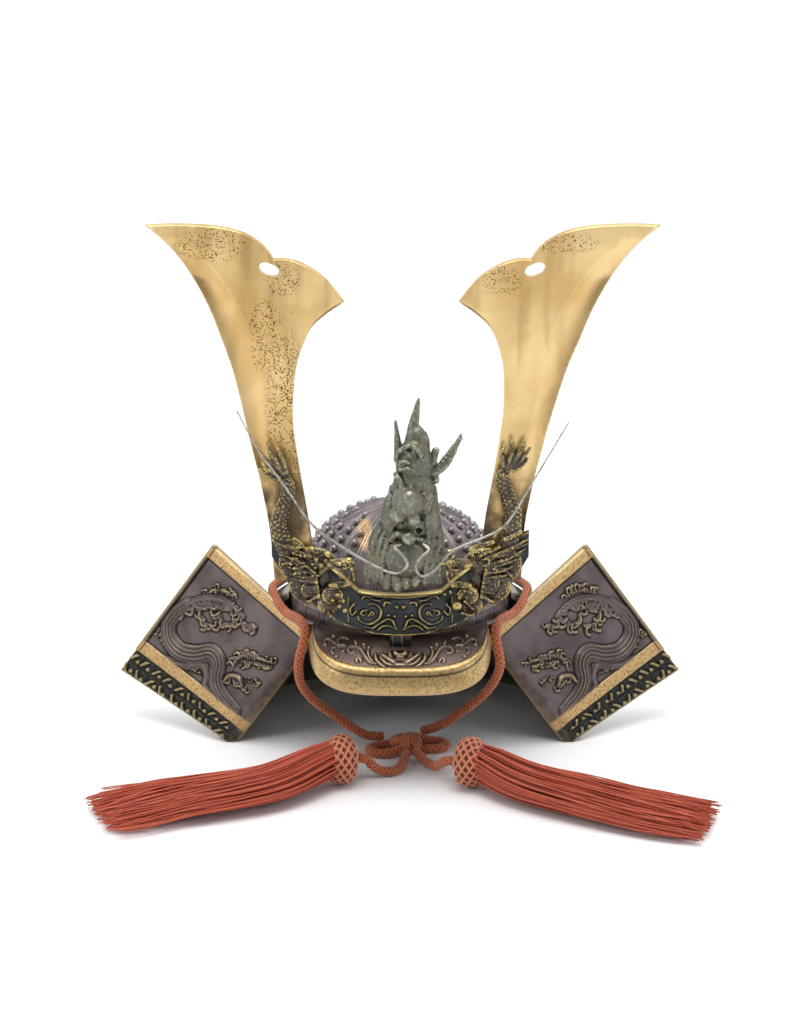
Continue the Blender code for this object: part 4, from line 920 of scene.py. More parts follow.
def bowl_shell():
    rows, columns = 100, 480
    rise = np.radians(np.linspace(0.0, 88.0, rows))[:, None]
    turn = (np.arange(columns) * math.tau / columns)[None, :]
    around = (turn * PLATES / math.tau) % 1.0
    arc = BOWL_RADIUS * np.cos(rise) * math.tau / PLATES
    beside = (np.abs(around - 0.5) - 0.5) * -arc
    line = np.exp(-((beside - 0.75) / 0.42) ** 2)
    fade = np.clip((84.0 - np.degrees(rise)) / 6.0, 0, 1) * np.clip(np.degrees(rise) / 3.0, 0.2, 1)
    low_band = np.exp(-((np.degrees(rise) - 9.5) / 1.1) ** 2)
    reach = BOWL_RADIUS + 0.75 * line * fade + 0.5 * low_band - 0.35 * np.exp(-(beside / 0.3) ** 2) * fade
    cap = np.clip((np.degrees(rise) - 82.0) / 1.5, 0, 1)
    reach = reach + 1.1 * cap
    outer = np.dstack([reach * np.cos(rise) * np.cos(turn), reach * np.cos(rise) * np.sin(turn),
                       RIM_Z + reach * np.sin(rise)])
    inner_rise = np.radians(np.linspace(88.0, 0.0, 14))[:, None]
    inner = np.dstack([57.2 * np.cos(inner_rise) * np.cos(turn), 57.2 * np.cos(inner_rise) * np.sin(turn),
                       RIM_Z + 57.2 * np.sin(inner_rise) + 0 * turn])
    # The closed shell runs from the crown down the outside, across the rim and up the inside
    rings = np.vstack([outer[::-1], inner[::-1]])
    count = len(rings)
    faces = [tuple(f) for f in grid_faces(count, columns, wrap=True)]
    faces += [tuple(range(columns))[::-1], tuple((count - 1) * columns + k for k in range(columns))]
    return rings.reshape(-1, 3), faces


def stud_shape():
    """A round stud, a ball cut a little below its middle, modelled once at the origin and read back as points and
    faces.
    """
    deselect()
    bpy.ops.mesh.primitive_uv_sphere_add(segments=14, ring_count=10, radius=2.5)
    ball = bpy.context.object
    bpy.ops.object.mode_set(mode="EDIT")
    bpy.ops.mesh.select_all(action="SELECT")
    bpy.ops.mesh.bisect(plane_co=(0, 0, -0.5), plane_no=(0, 0, 1), use_fill=True, clear_inner=True)
    bpy.ops.object.mode_set(mode="OBJECT")
    mesh = ball.data
    shape = (np.array([v.co[:] for v in mesh.vertices]), [tuple(p.vertices) for p in mesh.polygons])
    bpy.data.objects.remove(ball, do_unlink=True)
    return shape


def standing_on_bowl(shape, turn, rise, size=1.0):
    normal = np.array([math.cos(rise) * math.cos(turn), math.cos(rise) * math.sin(turn), math.sin(rise)])
    side = np.array([-math.sin(turn), math.cos(turn), 0.0])
    frame_axes = np.vstack([side, np.cross(normal, side), normal])
    return shape[0] * size @ frame_axes + normal * (BOWL_RADIUS + 0.35) + np.array([0, 0, RIM_Z]), shape[1]


stud = stud_shape()
shapes = [bowl_shell()]
STUD_STEPS = [17.0, 23.2, 29.4, 35.6, 41.8, 48.0, 54.2, 60.4, 66.6]
for plate_index in range(PLATES):
    turn = (plate_index + 0.5) * math.tau / PLATES
    for k, degrees in enumerate(STUD_STEPS):
        # Near the crown the plates are too narrow for every row, and the front ones are plain
        if (degrees > 60 and plate_index % 2) or abs(turn - math.radians(270)) < math.radians(24):
            continue
        shapes.append(standing_on_bowl(stud, turn, math.radians(degrees), 1.0 - 0.012 * k))
bowl = new_object("bowl_shell", merge(shapes))
raised_mask(bowl, "raised", 5, 0.22)
places = np.array([v.co[:] for v in bowl.data.vertices]) * 1000
patch = np.zeros(len(places))
for px, pz, rx, rz in ((-19.0, 121.0, 5.0, 7.5), (16.0, 116.5, 4.0, 9.0)):
    near = 1 - ((places[:, 0] - px) / rx) ** 2 - ((places[:, 2] - pz) / rz) ** 2
    patch = np.maximum(patch, np.clip(near * 1.6, 0, 1) * (places[:, 1] < AXIS_Y * 1000))
attribute(bowl, "brass", patch)
bowl_bronze = patina("bowl_bronze", (0.135, 0.114, 0.118), (0.020, 0.019, 0.020), (0.30, 0.27, 0.27),
                     0.35, 1.3, 0.34, brass=(0.50, 0.36, 0.20))
finish_piece(bowl, bowl_bronze, "bowl")

# %% [markdown]
# The neck guard flares from the bowl's foot to the surface in four overlapping lames. The real one
# has fine upright ribs; here a profile is swept round the axis and the ribs are height over it. The
# front ends stop against the backs of the turned-out plates.

# %% The neck guard
GUARD_TOP, SHOULDER_Z, SHOULDER_R, HEM_R = 79.0, 69.5, 78.0, 101.0


def guard_start(radius, height, front):
    """The azimuth below the X axis where a ring of the guard meets the back of the plate."""
    along = PLATE_OUT.dot(FOLD_TOP) - PLATE_WALL - 0.3 - PLATE_OUT[2] * height
    reach = math.hypot(PLATE_OUT[0], PLATE_OUT[1]) * radius
    facing = math.atan2(-PLATE_OUT[1], -PLATE_OUT[0])
    meet = facing - math.acos(max(-1.0, min(1.0, along / reach)))
    return min(meet, math.asin(min(1.0, front / radius)))


def guard_profile():
    """Rows of (radius, height, rib share, start azimuth) down the outside and up the inside."""
    rows = [(61.7, 79.0, 0.0, 0.0), (63.2, 79.3, 0.0, 0.0), (64.7, 79.0, 0.0, 0.0)]
    for t in np.linspace(0.06, 1.0, 14):
        rows.append((64.7 + 13.3 * t, GUARD_TOP - 9.5 * t, min(1.0, t * 4), -3.0 * t))
    for lame in range(4):
        for t in np.linspace(0.0, 1.0, 15):
            radius = SHOULDER_R + 23.0 * (lame + t) / 4 - (1.4 * (1 - t) if lame else 0.0)
            lip = 0.55 * math.exp(-((t - 0.93) / 0.05) ** 2)
            front = -3.0 + 1003.0 * min(1.0, (lame + t) / 0.35)
            rows.append((radius + lip, SHOULDER_Z * (1 - (lame + t) / 4), 1.0 - 0.8 * (t > 0.88), front))
    rows += [(98.4, 0.0, 0.0, 1000.0), (97.8, 0.8, 0.0, 1000.0)]
    for t in np.linspace(0.1, 1.0, 10):
        rows.append((97.8 - 24.2 * t, 0.8 + 65.7 * t, 0.0, 1000.0 if t < 0.99 else -3.0))
    rows += [(66.0, 73.0, 0.0, 0.0), (61.7, 76.0, 0.0, 0.0)]
    return rows


def guard_shape():
    rows, columns = guard_profile(), 560
    share = np.linspace(0, 1, columns)
    rings = []
    for radius, height, rib, front in rows:
        start = guard_start(radius, height, front)
        azimuth = -start + (math.pi + 2 * start) * share
        ridge = 0.75 * rib * np.maximum(np.cos(azimuth * 88), 0) ** 2
        rings.append(np.column_stack([(radius + ridge) * np.cos(azimuth), (radius + ridge) * np.sin(azimuth),
                                      np.full(columns, height)]))
    count = len(rows)
    faces = [tuple(f) for f in grid_faces(count, columns)]
    # Close the sheet into a wall along the lower rim of the seat and at its two front ends
    faces += [((count - 1) * columns + k, (count - 1) * columns + k + 1, k + 1, k) for k in range(columns - 1)]
    faces += [tuple(r * columns for r in range(count)), tuple(r * columns + columns - 1 for r in range(count))[::-1]]
    return np.vstack(rings), faces


guard = new_object("neck_guard_lames", guard_shape())
raised_mask(guard, "raised", 8, 0.30)
guard_bronze = patina("guard_bronze", (0.145, 0.150, 0.125), (0.028, 0.030, 0.026), (0.34, 0.33, 0.25),
                      0.35, 1.3, 0.45)
finish_piece(guard, guard_bronze, "neck_guard")
guard.data.set_sharp_from_angle(angle=math.radians(60))

# %% [markdown]
# The visor is a dished peak. Its top carries an arabesque of fine cast strokes, its edge a thick
# round bead, and a polished skirt falls from the bead. A slot in the middle takes the horn base's
# post, so it is cut right through.

# %% The visor
VISOR_LINES = [
    ([(-40.0, -67.5), (-39.4, -63.8), (-37.0, -63.7), (-34.6, -66.5), (-32.5, -69.3)], 1.0),
    ([(-27.9, -63.9), (-30.6, -63.0), (-32.6, -64.9), (-31.9, -68.5), (-29.5, -69.2)], 1.0),
    ([(-34.5, -70.0), (-35.8, -70.8), (-35.9, -73.3), (-35.0, -74.4)], 0.8),
    ([(-24.4, -74.8), (-26.4, -75.0), (-27.4, -72.7), (-26.1, -71.0), (-23.1, -71.0), (-20.7, -73.0),
      (-18.6, -77.0), (-15.9, -81.0), (-12.9, -81.8)], 1.0),
    ([(-16.4, -72.1), (-17.0, -75.0), (-16.0, -78.5), (-13.9, -81.0)], 0.9),
    ([(-13.0, -75.7), (-12.6, -79.4), (-10.6, -81.9), (-8.3, -83.5)], 0.9),
    ([(-22.6, -80.6), (-23.0, -78.9), (-21.3, -78.9), (-20.3, -80.6)], 0.8),
    ([(-23.8, -66.5), (-23.1, -69.2)], 0.7), ([(-30.4, -73.8), (-29.4, -73.4)], 0.7),
    ([(-1.9, -82.4), (-5.6, -79.6), (-9.0, -77.0), (-9.6, -75.4)], 1.0),
    ([(-1.9, -81.2), (-4.9, -78.1), (-5.6, -74.9)], 1.0), ([(-1.9, -80.5), (-1.5, -77.3), (-2.6, -74.4)], 0.9),
    ([(-3.3, -82.8), (-6.9, -82.0), (-9.6, -79.5), (-10.6, -77.5)], 0.8)]
VISOR_DOTS = [(-35.1, -61.0), (-19.1, -69.7), (-33.7, -76.4), (-39.6, -67.5), (-16.4, -72.1), (-1.8, -82.4),
              (-2.6, -75.3)]


def dots(height, spots, places, radius, rise):
    for place in places:
        near = ((spots - place) ** 2).sum(1) / radius ** 2
        height[:] = np.maximum(height, rise * np.sqrt(np.clip(1 - near, 0, 1)))


def visor_shape():
    columns, rows = 300, 104
    s = np.linspace(-1, 1, columns)
    facing = math.radians(49.0) * s
    back = np.column_stack([61.7 * np.sin(facing), -61.7 * np.cos(facing), np.full(columns, 75.5)])
    turn = 0.5 * math.pi * s
    forward = np.abs(np.cos(turn)) ** (2 / 3.4)
    edge = np.column_stack([np.sign(s) * np.abs(np.sin(turn)) ** (2 / 3.4) * 46.5, -48.0 - 41.0 * forward,
                            75.5 - 15.0 * forward ** 1.4])
    out = unit(np.column_stack([edge[:, 0], edge[:, 1] + 24.0, np.zeros(columns)]))
    t = np.linspace(0, 1, rows)[:, None]
    across = back[None] * (1 - t[..., None]) + edge[None] * t[..., None]
    spots = across[..., :2].reshape(-1, 2).copy()
    spots[:, 0] = -np.abs(spots[:, 0])
    height = np.zeros(len(spots))
    for route, width in VISOR_LINES:
        stroke(height, spots, route, width, 0.95, ends=(0.9, 0.7), sharp=0.5)
    dots(height, spots, VISOR_DOTS, 1.15, 1.0)
    height = height.reshape(rows, columns) * (t < 0.80)
    bead = 2.5 * np.sqrt(np.clip(1 - ((t - 0.915) / 0.085) ** 2, 0, 1)) * np.ones(columns)
    across[..., 2] += 1.2 * np.sin(np.clip(t / 0.9, 0, 1) * math.pi) + np.maximum(height, bead)
    rings = [ring for ring in across]
    zone = [bead[k] > 0.3 for k in range(rows)]
    skirt = [0] * rows
    for k, drop in enumerate(np.linspace(0.0, 1.0, 15)):
        bulge = 0.7 * math.sin(drop * math.pi) * 0.5
        rings.append(edge + out * (0.5 + 1.7 * drop + bulge) - np.array([0, 0, 1.0]) * (0.6 + 8.9 * drop))
        zone.append(np.ones(columns, bool))
        skirt.append(1)
    rings.append(edge + out * 0.6 - np.array([0, 0, 9.5]))
    for t_under in (1.0, 0.75, 0.5, 0.25, 0.0):
        under = back * (1 - t_under) + edge * t_under - out * (1.8 * t_under)
        under[:, 2] += 1.2 * math.sin(min(t_under / 0.9, 1) * math.pi) - 2.8
        rings.append(under)
    zone += [np.zeros(columns, bool)] * 6
    count = len(rings)
    faces = [tuple(f) for f in grid_faces(count, columns)]
    faces += [((count - 1) * columns + k, (count - 1) * columns + k + 1, k + 1, k) for k in range(columns - 1)]
    faces += [tuple(r * columns for r in range(count)), tuple(r * columns + columns - 1 for r in range(count))[::-1]]
    return (np.vstack(rings), faces), np.concatenate(zone).astype(float)


def cut_through(target, centre, size):
    """Cut a plain box out of a piece, as a file would open a slot."""
    deselect()
    bpy.ops.mesh.primitive_cube_add(size=1.0, location=to_metres(centre), scale=np.array(size) / 1000)
    box = bpy.context.object
    cut = target.modifiers.new("slot", "BOOLEAN")
    cut.object = box
    deselect()
    bpy.context.view_layer.objects.active = target
    target.select_set(True)
    bpy.ops.object.modifier_apply(modifier="slot")
    bpy.data.objects.remove(box, do_unlink=True)


shape, brass_zone = visor_shape()
visor = new_object("visor_peak", shape)
attribute(visor, "brass", brass_zone)
raised_mask(visor, "raised", 10, 0.26)
cut_through(visor, (0.2, -67.4, 72.0), (11.6, 8.6, 30.0))
visor_bronze = patina("visor_bronze", (0.088, 0.064, 0.058), (0.014, 0.013, 0.012), (0.42, 0.30, 0.16),
                      0.22, 0.95, 0.32, brass=(0.56, 0.40, 0.18))
finish_piece(visor, visor_bronze, "visor")
visor.data.set_sharp_from_angle(angle=math.radians(50))

# %% [markdown]
# The horn base is a crescent wall that stands round the bowl's front. Its low middle carries a
# panel of scrolls rubbed to gold, a rough brass strip runs along its foot, and a post drops from it
# into the visor's slot. The ends rise into ears behind the dragon heads.

# %% The horn base's wall and post
WALL_ROWS = np.array([(0.0, 0.0, 1.0), (0.16, 0.02, 1.02), (0.32, 0.11, 1.06), (0.46, 0.20, 1.40), (0.62, 0.40, 1.70),
                      (0.76, 0.70, 2.00), (0.88, 1.10, 2.20), (1.0, 1.75, 2.35)])
PANEL_LINES = [
    ([(-20.1, 95.6), (-18.7, 97.0), (-16.3, 96.9), (-14.0, 95.6), (-10.7, 95.1)], 0.9),
    ([(-16.3, 92.7), (-14.0, 93.2), (-11.6, 92.1), (-10.2, 89.5), (-10.7, 86.0), (-13.1, 83.4), (-15.9, 81.9),
      (-19.2, 81.9)], 1.0),
    ([(-18.7, 81.9), (-21.6, 83.6), (-22.3, 85.5)], 0.8),
    ([(-17.8, 89.4), (-20.1, 88.7), (-20.6, 87.2), (-19.2, 86.3)], 0.8),
    ([(-16.6, 86.3), (-14.9, 88.7), (-14.0, 87.8), (-15.4, 86.2)], 0.7),
    ([(-8.6, 92.2), (-8.1, 94.0), (-6.5, 94.5), (-5.1, 93.8)], 0.8),
    ([(-11.7, 79.0), (-9.8, 80.9), (-7.0, 81.5), (-4.1, 80.8), (-2.7, 79.4)], 0.9),
    ([(-18.3, 80.0), (-14.5, 79.8), (-11.7, 82.0), (-7.9, 84.6), (-6.0, 85.2), (-4.1, 84.3), (-3.2, 82.3),
      (-1.8, 79.4)], 0.9),
    ([(-24.5, 92.0), (-26.5, 89.0), (-25.5, 86.0), (-23.0, 88.5)], 0.8)]


def wall_y(x):
    """The outer face of the wall: round the bowl in the middle, then straight ears."""
    return -np.sqrt(64.9 ** 2 - np.minimum(np.abs(x), 41.7) ** 2) - 2.3


def wall_shape():
    columns, rows = 380, 74
    x = np.linspace(-68.0, 68.0, columns)
    share = np.abs(x) / 68.0
    low = 75.7 + 22.5 * np.interp(share, WALL_ROWS[:, 0], WALL_ROWS[:, 1])
    high = 75.7 + 22.5 * np.interp(share, WALL_ROWS[:, 0], WALL_ROWS[:, 2])
    t = np.linspace(0, 1, rows)[:, None]
    z = low * (1 - t) + high * t
    spots = np.column_stack([-np.abs(np.repeat(x[None], rows, 0)).ravel(), z.ravel()])
    height = np.zeros(len(spots))
    for route, width in PANEL_LINES:
        stroke(height, spots, route, width, 1.0, ends=(0.9, 0.7), sharp=0.5)
    dots(height, spots, [(-1.8, 91.9)], 1.4, 1.0)
    dots(height, spots, [(-6.2, 87.2), (-3.0, 86.7)], 0.9, 0.9)
    strip_top = np.interp(np.abs(x), [0.0, 1.3, 13.1, 20.2, 27.3, 34.5], [77.2, 77.1, 77.2, 77.8, 79.6, 82.2])
    strip = np.clip((strip_top - z) / 0.4, 0, 1) * (np.abs(x) < 36)
    frame_line = np.clip(1 - np.abs(np.abs(x) - 27.5) / 0.7, 0, 1) * (z < 96) * (z > 81)
    height = np.maximum(height.reshape(rows, columns), 0.7 * strip)
    height = np.maximum(height, 0.6 * frame_line)
    rim = 0.7 * np.clip(1 - ((high - z - 1.2) / 1.2) ** 2, 0, 1) * (np.abs(x) < 42)
    height = np.maximum(height, rim)
    edge = np.minimum(z - low, high - z)
    height = height - 0.6 * (1 - np.clip(edge / 0.6, 0, 1))
    y = wall_y(x)[None] - height
    front = np.dstack([np.repeat(x[None], rows, 0), y, z])
    behind = np.dstack([np.repeat(x[None], 2, 0), np.repeat(wall_y(x)[None] + 4.6, 2, 0), np.vstack([high, low])])
    rings = np.vstack([front, behind])
    count = len(rings)
    faces = [tuple(f) for f in grid_faces(count, columns)]
    faces += [((count - 1) * columns + k, (count - 1) * columns + k + 1, k + 1, k) for k in range(columns - 1)]
    faces += [tuple(r * columns for r in range(count)), tuple(r * columns + columns - 1 for r in range(count))[::-1]]
    zone = np.zeros((count, columns))
    zone[:rows] = strip
    return (rings.reshape(-1, 3), faces), zone.ravel()


iron = patina("horn_base_iron", (0.024, 0.028, 0.030), (0.006, 0.007, 0.008), (0.40, 0.31, 0.12),
              0.30, 1.05, 0.30, brass=(0.36, 0.26, 0.10))
head_iron = patina("dragon_head_iron", (0.060, 0.050, 0.042), (0.009, 0.009, 0.008), (0.52, 0.40, 0.15),
                   -0.10, 0.62, 0.30, grains=640.0)
shape, brass_zone = wall_shape()
wall = new_object("horn_base_wall", shape)
attribute(wall, "brass", brass_zone)
raised_mask(wall, "raised", 10, 0.26)
finish_piece(wall, iron, "horn_base")
wall.data.set_sharp_from_angle(angle=math.radians(60))

deselect()
bpy.ops.mesh.primitive_cube_add(size=1.0, location=to_metres((-1.6, -64.9, 72.6)), scale=(0.0066, 0.0040, 0.0125))
post = bpy.context.object
post.name = "horn_base_post"
bpy.ops.object.transform_apply(location=False, rotation=False, scale=True)
bpy.ops.object.mode_set(mode="EDIT")
bpy.ops.mesh.select_all(action="SELECT")
bpy.ops.mesh.bevel(offset=0.0005, segments=2)
bpy.ops.mesh.subdivide(number_cuts=2)
bpy.ops.object.mode_set(mode="OBJECT")
bpy.ops.object.transform_apply(location=True, rotation=False, scale=False)
raised_mask(post, "raised", 6, 0.3)
finish_piece(post, iron, "horn_base")

# %% [markdown]
# Each side of the base ends in a dragon head with horns, mane, eye and open jaw, and a scaled body
# that climbs the horn. Cast heads like these are built up in wax from rolls and balls that are
# pressed together. The same is done here: overlapping bars and balls, fused by a fine remesh, then
# smoothed a little.


# %% Helpers for pressed-together masses
def lump(centre, radii, rings=14, sides=20):
    """An egg shape with its own half lengths."""
    polar = np.linspace(0.02, math.pi - 0.02, rings)[:, None]
    turn = (np.arange(sides) * math.tau / sides)[None]
    ball = np.dstack([np.sin(polar) * np.cos(turn), np.sin(polar) * np.sin(turn), np.cos(polar) + 0 * turn])
    points = np.asarray(centre) + ball.reshape(-1, 3) * np.asarray(radii)
    faces = [tuple(f) for f in grid_faces(rings, sides, wrap=True)]
    return points, faces + [tuple(range(sides))[::-1], tuple((rings - 1) * sides + k for k in range(sides))]


def roll(route, root, tip, flat=1.0, relief=None):
    """A tapered roll of wax along a route, a little thicker near its first third."""
    rough = smooth_line(route, 60)
    line = smooth_line(route, max(int(line_length(rough) / 0.45), 8))
    share = np.linspace(0, 1, len(line))
    radius = (root + (tip - root) * share) * np.interp(share, [0, 0.05, 0.9, 1], [0.7, 1.0, 1.0, 0.45])
    return bar(line, radius, 12, relief=relief, flat=flat, up=(0.0, 1.0, 0.0))


def apply_all(obj):
    deselect()
    bpy.context.view_layer.objects.active = obj
    obj.select_set(True)
    for modifier in list(obj.modifiers):
        bpy.ops.object.modifier_apply(modifier=modifier.name)


def pressed(name, shapes, voxel, lump_size, lump_rise, keep):
    """Fuse masses into one skin, give it a worked surface, and thin the mesh to a share."""
    obj = new_object(name, merge(shapes), outward=False)
    fuse = obj.modifiers.new("fuse", "REMESH")
    fuse.mode = "VOXEL"
    fuse.voxel_size = voxel / 1000
    texture = bpy.data.textures.new(name + "_tooling", "CLOUDS")
    texture.noise_scale = lump_size / 1000
    texture.noise_depth = 2
    tooling = obj.modifiers.new("tooling", "DISPLACE")
    tooling.texture = texture
    tooling.texture_coords = "LOCAL"
    tooling.strength = lump_rise / 1000
    soften = obj.modifiers.new("soften", "SMOOTH")
    soften.factor = 0.45
    soften.iterations = 2
    thin = obj.modifiers.new("thin", "DECIMATE")
    thin.ratio = keep
    apply_all(obj)
    obj.data.shade_smooth()
    return obj


# %% [markdown]
# The strokes below were read off the photo, one by one: sideways place, distance out from the wall,
# and height. Horns and mane sweep back and up, the jaws point to the middle.

# %% The dragon heads
LEFT_STRANDS = [
    (1.3, 1.0, [(-67.3, 1.5, 125.0), (-62.7, 2.8, 122.7), (-57.8, 4.2, 121.2), (-51.9, 5.5, 121.6)]),
    (0.9, 0.6, [(-56.7, 4.0, 126.3), (-54.1, 4.7, 125.2), (-51.5, 5.3, 123.1), (-50.4, 6.0, 122.1)]),
    (1.1, 1.5, [(-49.6, 7.0, 121.4), (-46.6, 7.4, 121.6), (-44.0, 7.8, 119.9), (-41.1, 8.2, 120.2), (-38.0, 8.6, 119.6), (-36.9, 9.0, 118.3)]),
    (1.0, 0.9, [(-56.9, 4.0, 118.6), (-53.8, 5.0, 117.6), (-51.2, 6.0, 116.7)]),
    (0.9, 0.9, [(-50.8, 6.0, 117.1), (-48.2, 6.5, 117.2), (-46.3, 7.0, 116.6)]),
    (1.3, 0.8, [(-57.4, 3.5, 114.1), (-54.9, 4.3, 114.9), (-52.7, 5.2, 113.4), (-49.7, 6.0, 113.3)]),
    (0.7, 0.9, [(-62.5, 2.0, 111.3), (-59.1, 3.2, 112.5), (-56.8, 4.5, 111.7)]),
    (1.0, 0.9, [(-56.5, 4.0, 110.0), (-53.1, 4.9, 110.0), (-50.1, 5.8, 111.6), (-47.1, 6.6, 110.0), (-44.2, 7.5, 107.9)]),
    (0.9, 0.7, [(-56.4, 3.5, 106.4), (-54.3, 4.2, 107.3), (-52.0, 5.0, 106.8)]),
    (0.8, 0.7, [(-50.8, 4.5, 106.3), (-48.7, 5.2, 108.0), (-46.4, 6.0, 107.9)]),
    (1.2, 0.9, [(-44.4, 8.0, 116.5), (-43.4, 8.2, 113.9), (-40.4, 8.5, 112.0)]),
    (0.8, 0.7, [(-46.7, 8.0, 112.7), (-44.5, 8.2, 113.5), (-42.3, 8.3, 112.0), (-41.9, 8.5, 110.1)]),
    (1.0, 1.3, [(-42.3, 7.0, 107.8), (-39.3, 7.8, 110.9), (-36.6, 8.7, 113.2), (-34.3, 9.5, 113.5)]),
    (0.9, 1.2, [(-36.6, 9.0, 116.8), (-33.6, 10.0, 116.1), (-30.6, 11.0, 115.8)]),
    (1.0, 0.8, [(-34.3, 10.0, 113.3), (-31.0, 10.5, 113.3), (-27.2, 11.0, 114.7)]),
    (1.0, 0.6, [(-25.4, 11.0, 115.0), (-24.3, 10.0, 111.0), (-24.0, 9.0, 106.9)]),
    (0.5, 0.3, [(-31.4, 9.0, 109.7), (-31.3, 8.5, 106.7)]),
    (0.5, 0.3, [(-29.0, 9.0, 109.9), (-28.6, 8.5, 106.9)]),
    (0.5, 0.3, [(-26.9, 9.0, 109.6), (-26.4, 8.5, 106.8)]),
    (1.4, 1.2, [(-42.2, 3.0, 97.7), (-36.8, 4.7, 100.1), (-31.1, 6.3, 102.8), (-25.5, 8.0, 105.1)]),
    (0.8, 0.6, [(-48.4, 5.0, 103.3), (-45.7, 6.0, 106.3), (-42.0, 7.0, 106.6)]),
]
LEFT_BALLS = [
    (2.0, (-26.9, 9.5, 118.1)),
    (1.5, (-28.0, 10.0, 116.2)),
    (1.0, (-39.2, 8.8, 115.8)),
    (1.6, (-44.5, 6.5, 111.5)),
    (1.4, (-32.7, 6.0, 97.8)),
    (1.3, (-35.5, 6.0, 94.2)),
    (1.2, (-29.9, 6.5, 95.0)),
    (1.2, (-31.9, 6.5, 91.5)),
    (1.4, (-28.8, 6.0, 89.6)),
    (0.9, (-37.7, 4.5, 86.3)),
    (0.8, (-36.6, 4.5, 84.6)),
]
RIGHT_STRANDS = [
    (1.5, 1.2, [(63.8, 2.0, 129.8), (61.2, 3.2, 128.2), (57.5, 4.3, 126.6), (53.7, 5.5, 125.4)]),
    (0.9, 0.7, [(51.9, 3.0, 130.4), (50.4, 4.0, 128.4), (49.0, 5.0, 126.4)]),
    (1.2, 1.4, [(49.7, 6.0, 124.8), (46.3, 6.8, 124.2), (43.0, 7.5, 123.1), (39.2, 8.2, 123.1), (36.2, 9.0, 121.8)]),
    (0.9, 0.8, [(52.7, 4.0, 121.5), (49.0, 5.5, 120.0), (46.0, 7.0, 119.3)]),
    (1.1, 0.8, [(60.6, 2.0, 118.6), (57.6, 3.2, 117.1), (54.6, 4.3, 117.0), (50.1, 5.5, 116.2)]),
    (0.9, 0.8, [(59.4, 3.0, 120.1), (55.7, 4.2, 118.1), (52.0, 5.5, 117.0)]),
    (0.8, 0.8, [(56.2, 2.5, 113.4), (52.8, 4.0, 112.7), (49.1, 5.5, 112.0)]),
    (0.9, 0.8, [(55.9, 3.0, 107.8), (52.1, 4.5, 109.0), (48.3, 6.0, 110.4)]),
    (0.8, 0.6, [(59.3, 2.0, 104.7), (57.4, 2.5, 106.4), (55.9, 3.0, 108.9)]),
    (0.9, 0.8, [(41.2, 8.0, 117.0), (43.4, 8.2, 118.3), (45.2, 8.5, 119.4)]),
    (0.9, 0.8, [(41.2, 8.0, 114.0), (43.8, 8.0, 112.7), (46.4, 8.0, 113.8), (46.0, 8.0, 115.8), (43.4, 8.0, 115.8)]),
    (1.0, 1.0, [(23.6, 10.5, 120.5), (27.7, 9.9, 119.7), (32.2, 9.2, 116.9), (36.3, 8.6, 115.2), (40.8, 8.0, 114.1)]),
    (0.8, 0.8, [(28.4, 10.0, 118.1), (33.3, 9.3, 115.2), (37.8, 8.7, 113.8), (41.6, 8.0, 112.7)]),
    (0.8, 0.7, [(21.1, 10.0, 117.4), (24.0, 9.6, 116.6), (26.6, 9.2, 113.5), (29.6, 8.8, 112.6), (32.2, 8.4, 113.4), (35.2, 8.0, 113.1)]),
    (0.9, 0.6, [(24.2, 9.5, 113.1), (24.6, 9.2, 109.9), (25.4, 8.8, 107.1), (26.7, 8.5, 105.3)]),
    (0.6, 0.4, [(27.0, 9.0, 111.9), (27.1, 8.5, 108.7)]),
    (0.5, 0.3, [(29.2, 9.0, 111.2), (29.1, 8.5, 108.4)]),
    (0.9, 0.8, [(30.5, 6.5, 95.8), (32.2, 6.2, 98.6), (33.5, 6.0, 100.0)]),
    (0.9, 0.6, [(33.5, 5.0, 93.9), (36.4, 4.5, 90.5), (39.7, 4.0, 86.1)]),
    (0.8, 0.6, [(32.1, 4.5, 87.4), (36.6, 4.2, 85.1), (39.7, 4.0, 85.3)]),
    (0.8, 0.6, [(34.3, 5.0, 95.7), (37.3, 4.5, 93.4), (39.6, 4.0, 90.3)]),
    (1.3, 1.1, [(26.7, 8.0, 104.4), (31.2, 5.5, 102.5), (36.6, 3.0, 99.6)]),
]
RIGHT_BALLS = [
    (1.8, (25.6, 10.0, 123.0)),
    (1.4, (26.9, 10.5, 121.1)),
    (1.0, (37.7, 8.8, 119.2)),
    (1.7, (44.0, 6.5, 114.2)),
    (2.7, (29.8, 5.0, 91.8)),
    (0.9, (33.5, 6.5, 99.8)),
    (1.0, (26.4, 5.5, 99.8)),
    (0.8, (23.4, 5.0, 98.9)),
]
HEAD_MASSES = [((-50.0, 1.0, 99.5), (9.0, 3.0, 9.5)), ((-45.0, 2.0, 112.0), (11.5, 3.4, 8.5)),
               ((-31.0, 5.0, 114.5), (7.5, 4.0, 3.0)), ((-31.5, 5.0, 103.0), (6.5, 2.8, 1.9)),
               ((-35.5, 3.0, 96.0), (6.0, 2.4, 5.5)), ((-38.0, 2.0, 90.0), (6.0, 2.2, 5.5)),
               ((-58.0, 0.6, 112.0), (6.5, 1.8, 10.0)), ((-41.0, 0.8, 105.0), (10.0, 2.8, 8.0))]
BODY_ROUTES = {
    "left": [(-58.5, 0.8, 116.0), (-62.4, 1.0, 125.2), (-63.9, 1.0, 133.3), (-61.7, 1.0, 141.5),
             (-58.8, 1.0, 150.4), (-60.2, 0.8, 160.0)],
    "right": [(-56.5, 0.8, 118.0), (-58.8, 1.0, 130.2), (-59.4, 1.0, 139.3), (-56.0, 1.0, 149.4),
              (-53.8, 1.0, 158.0), (-55.7, 0.8, 164.4)]}
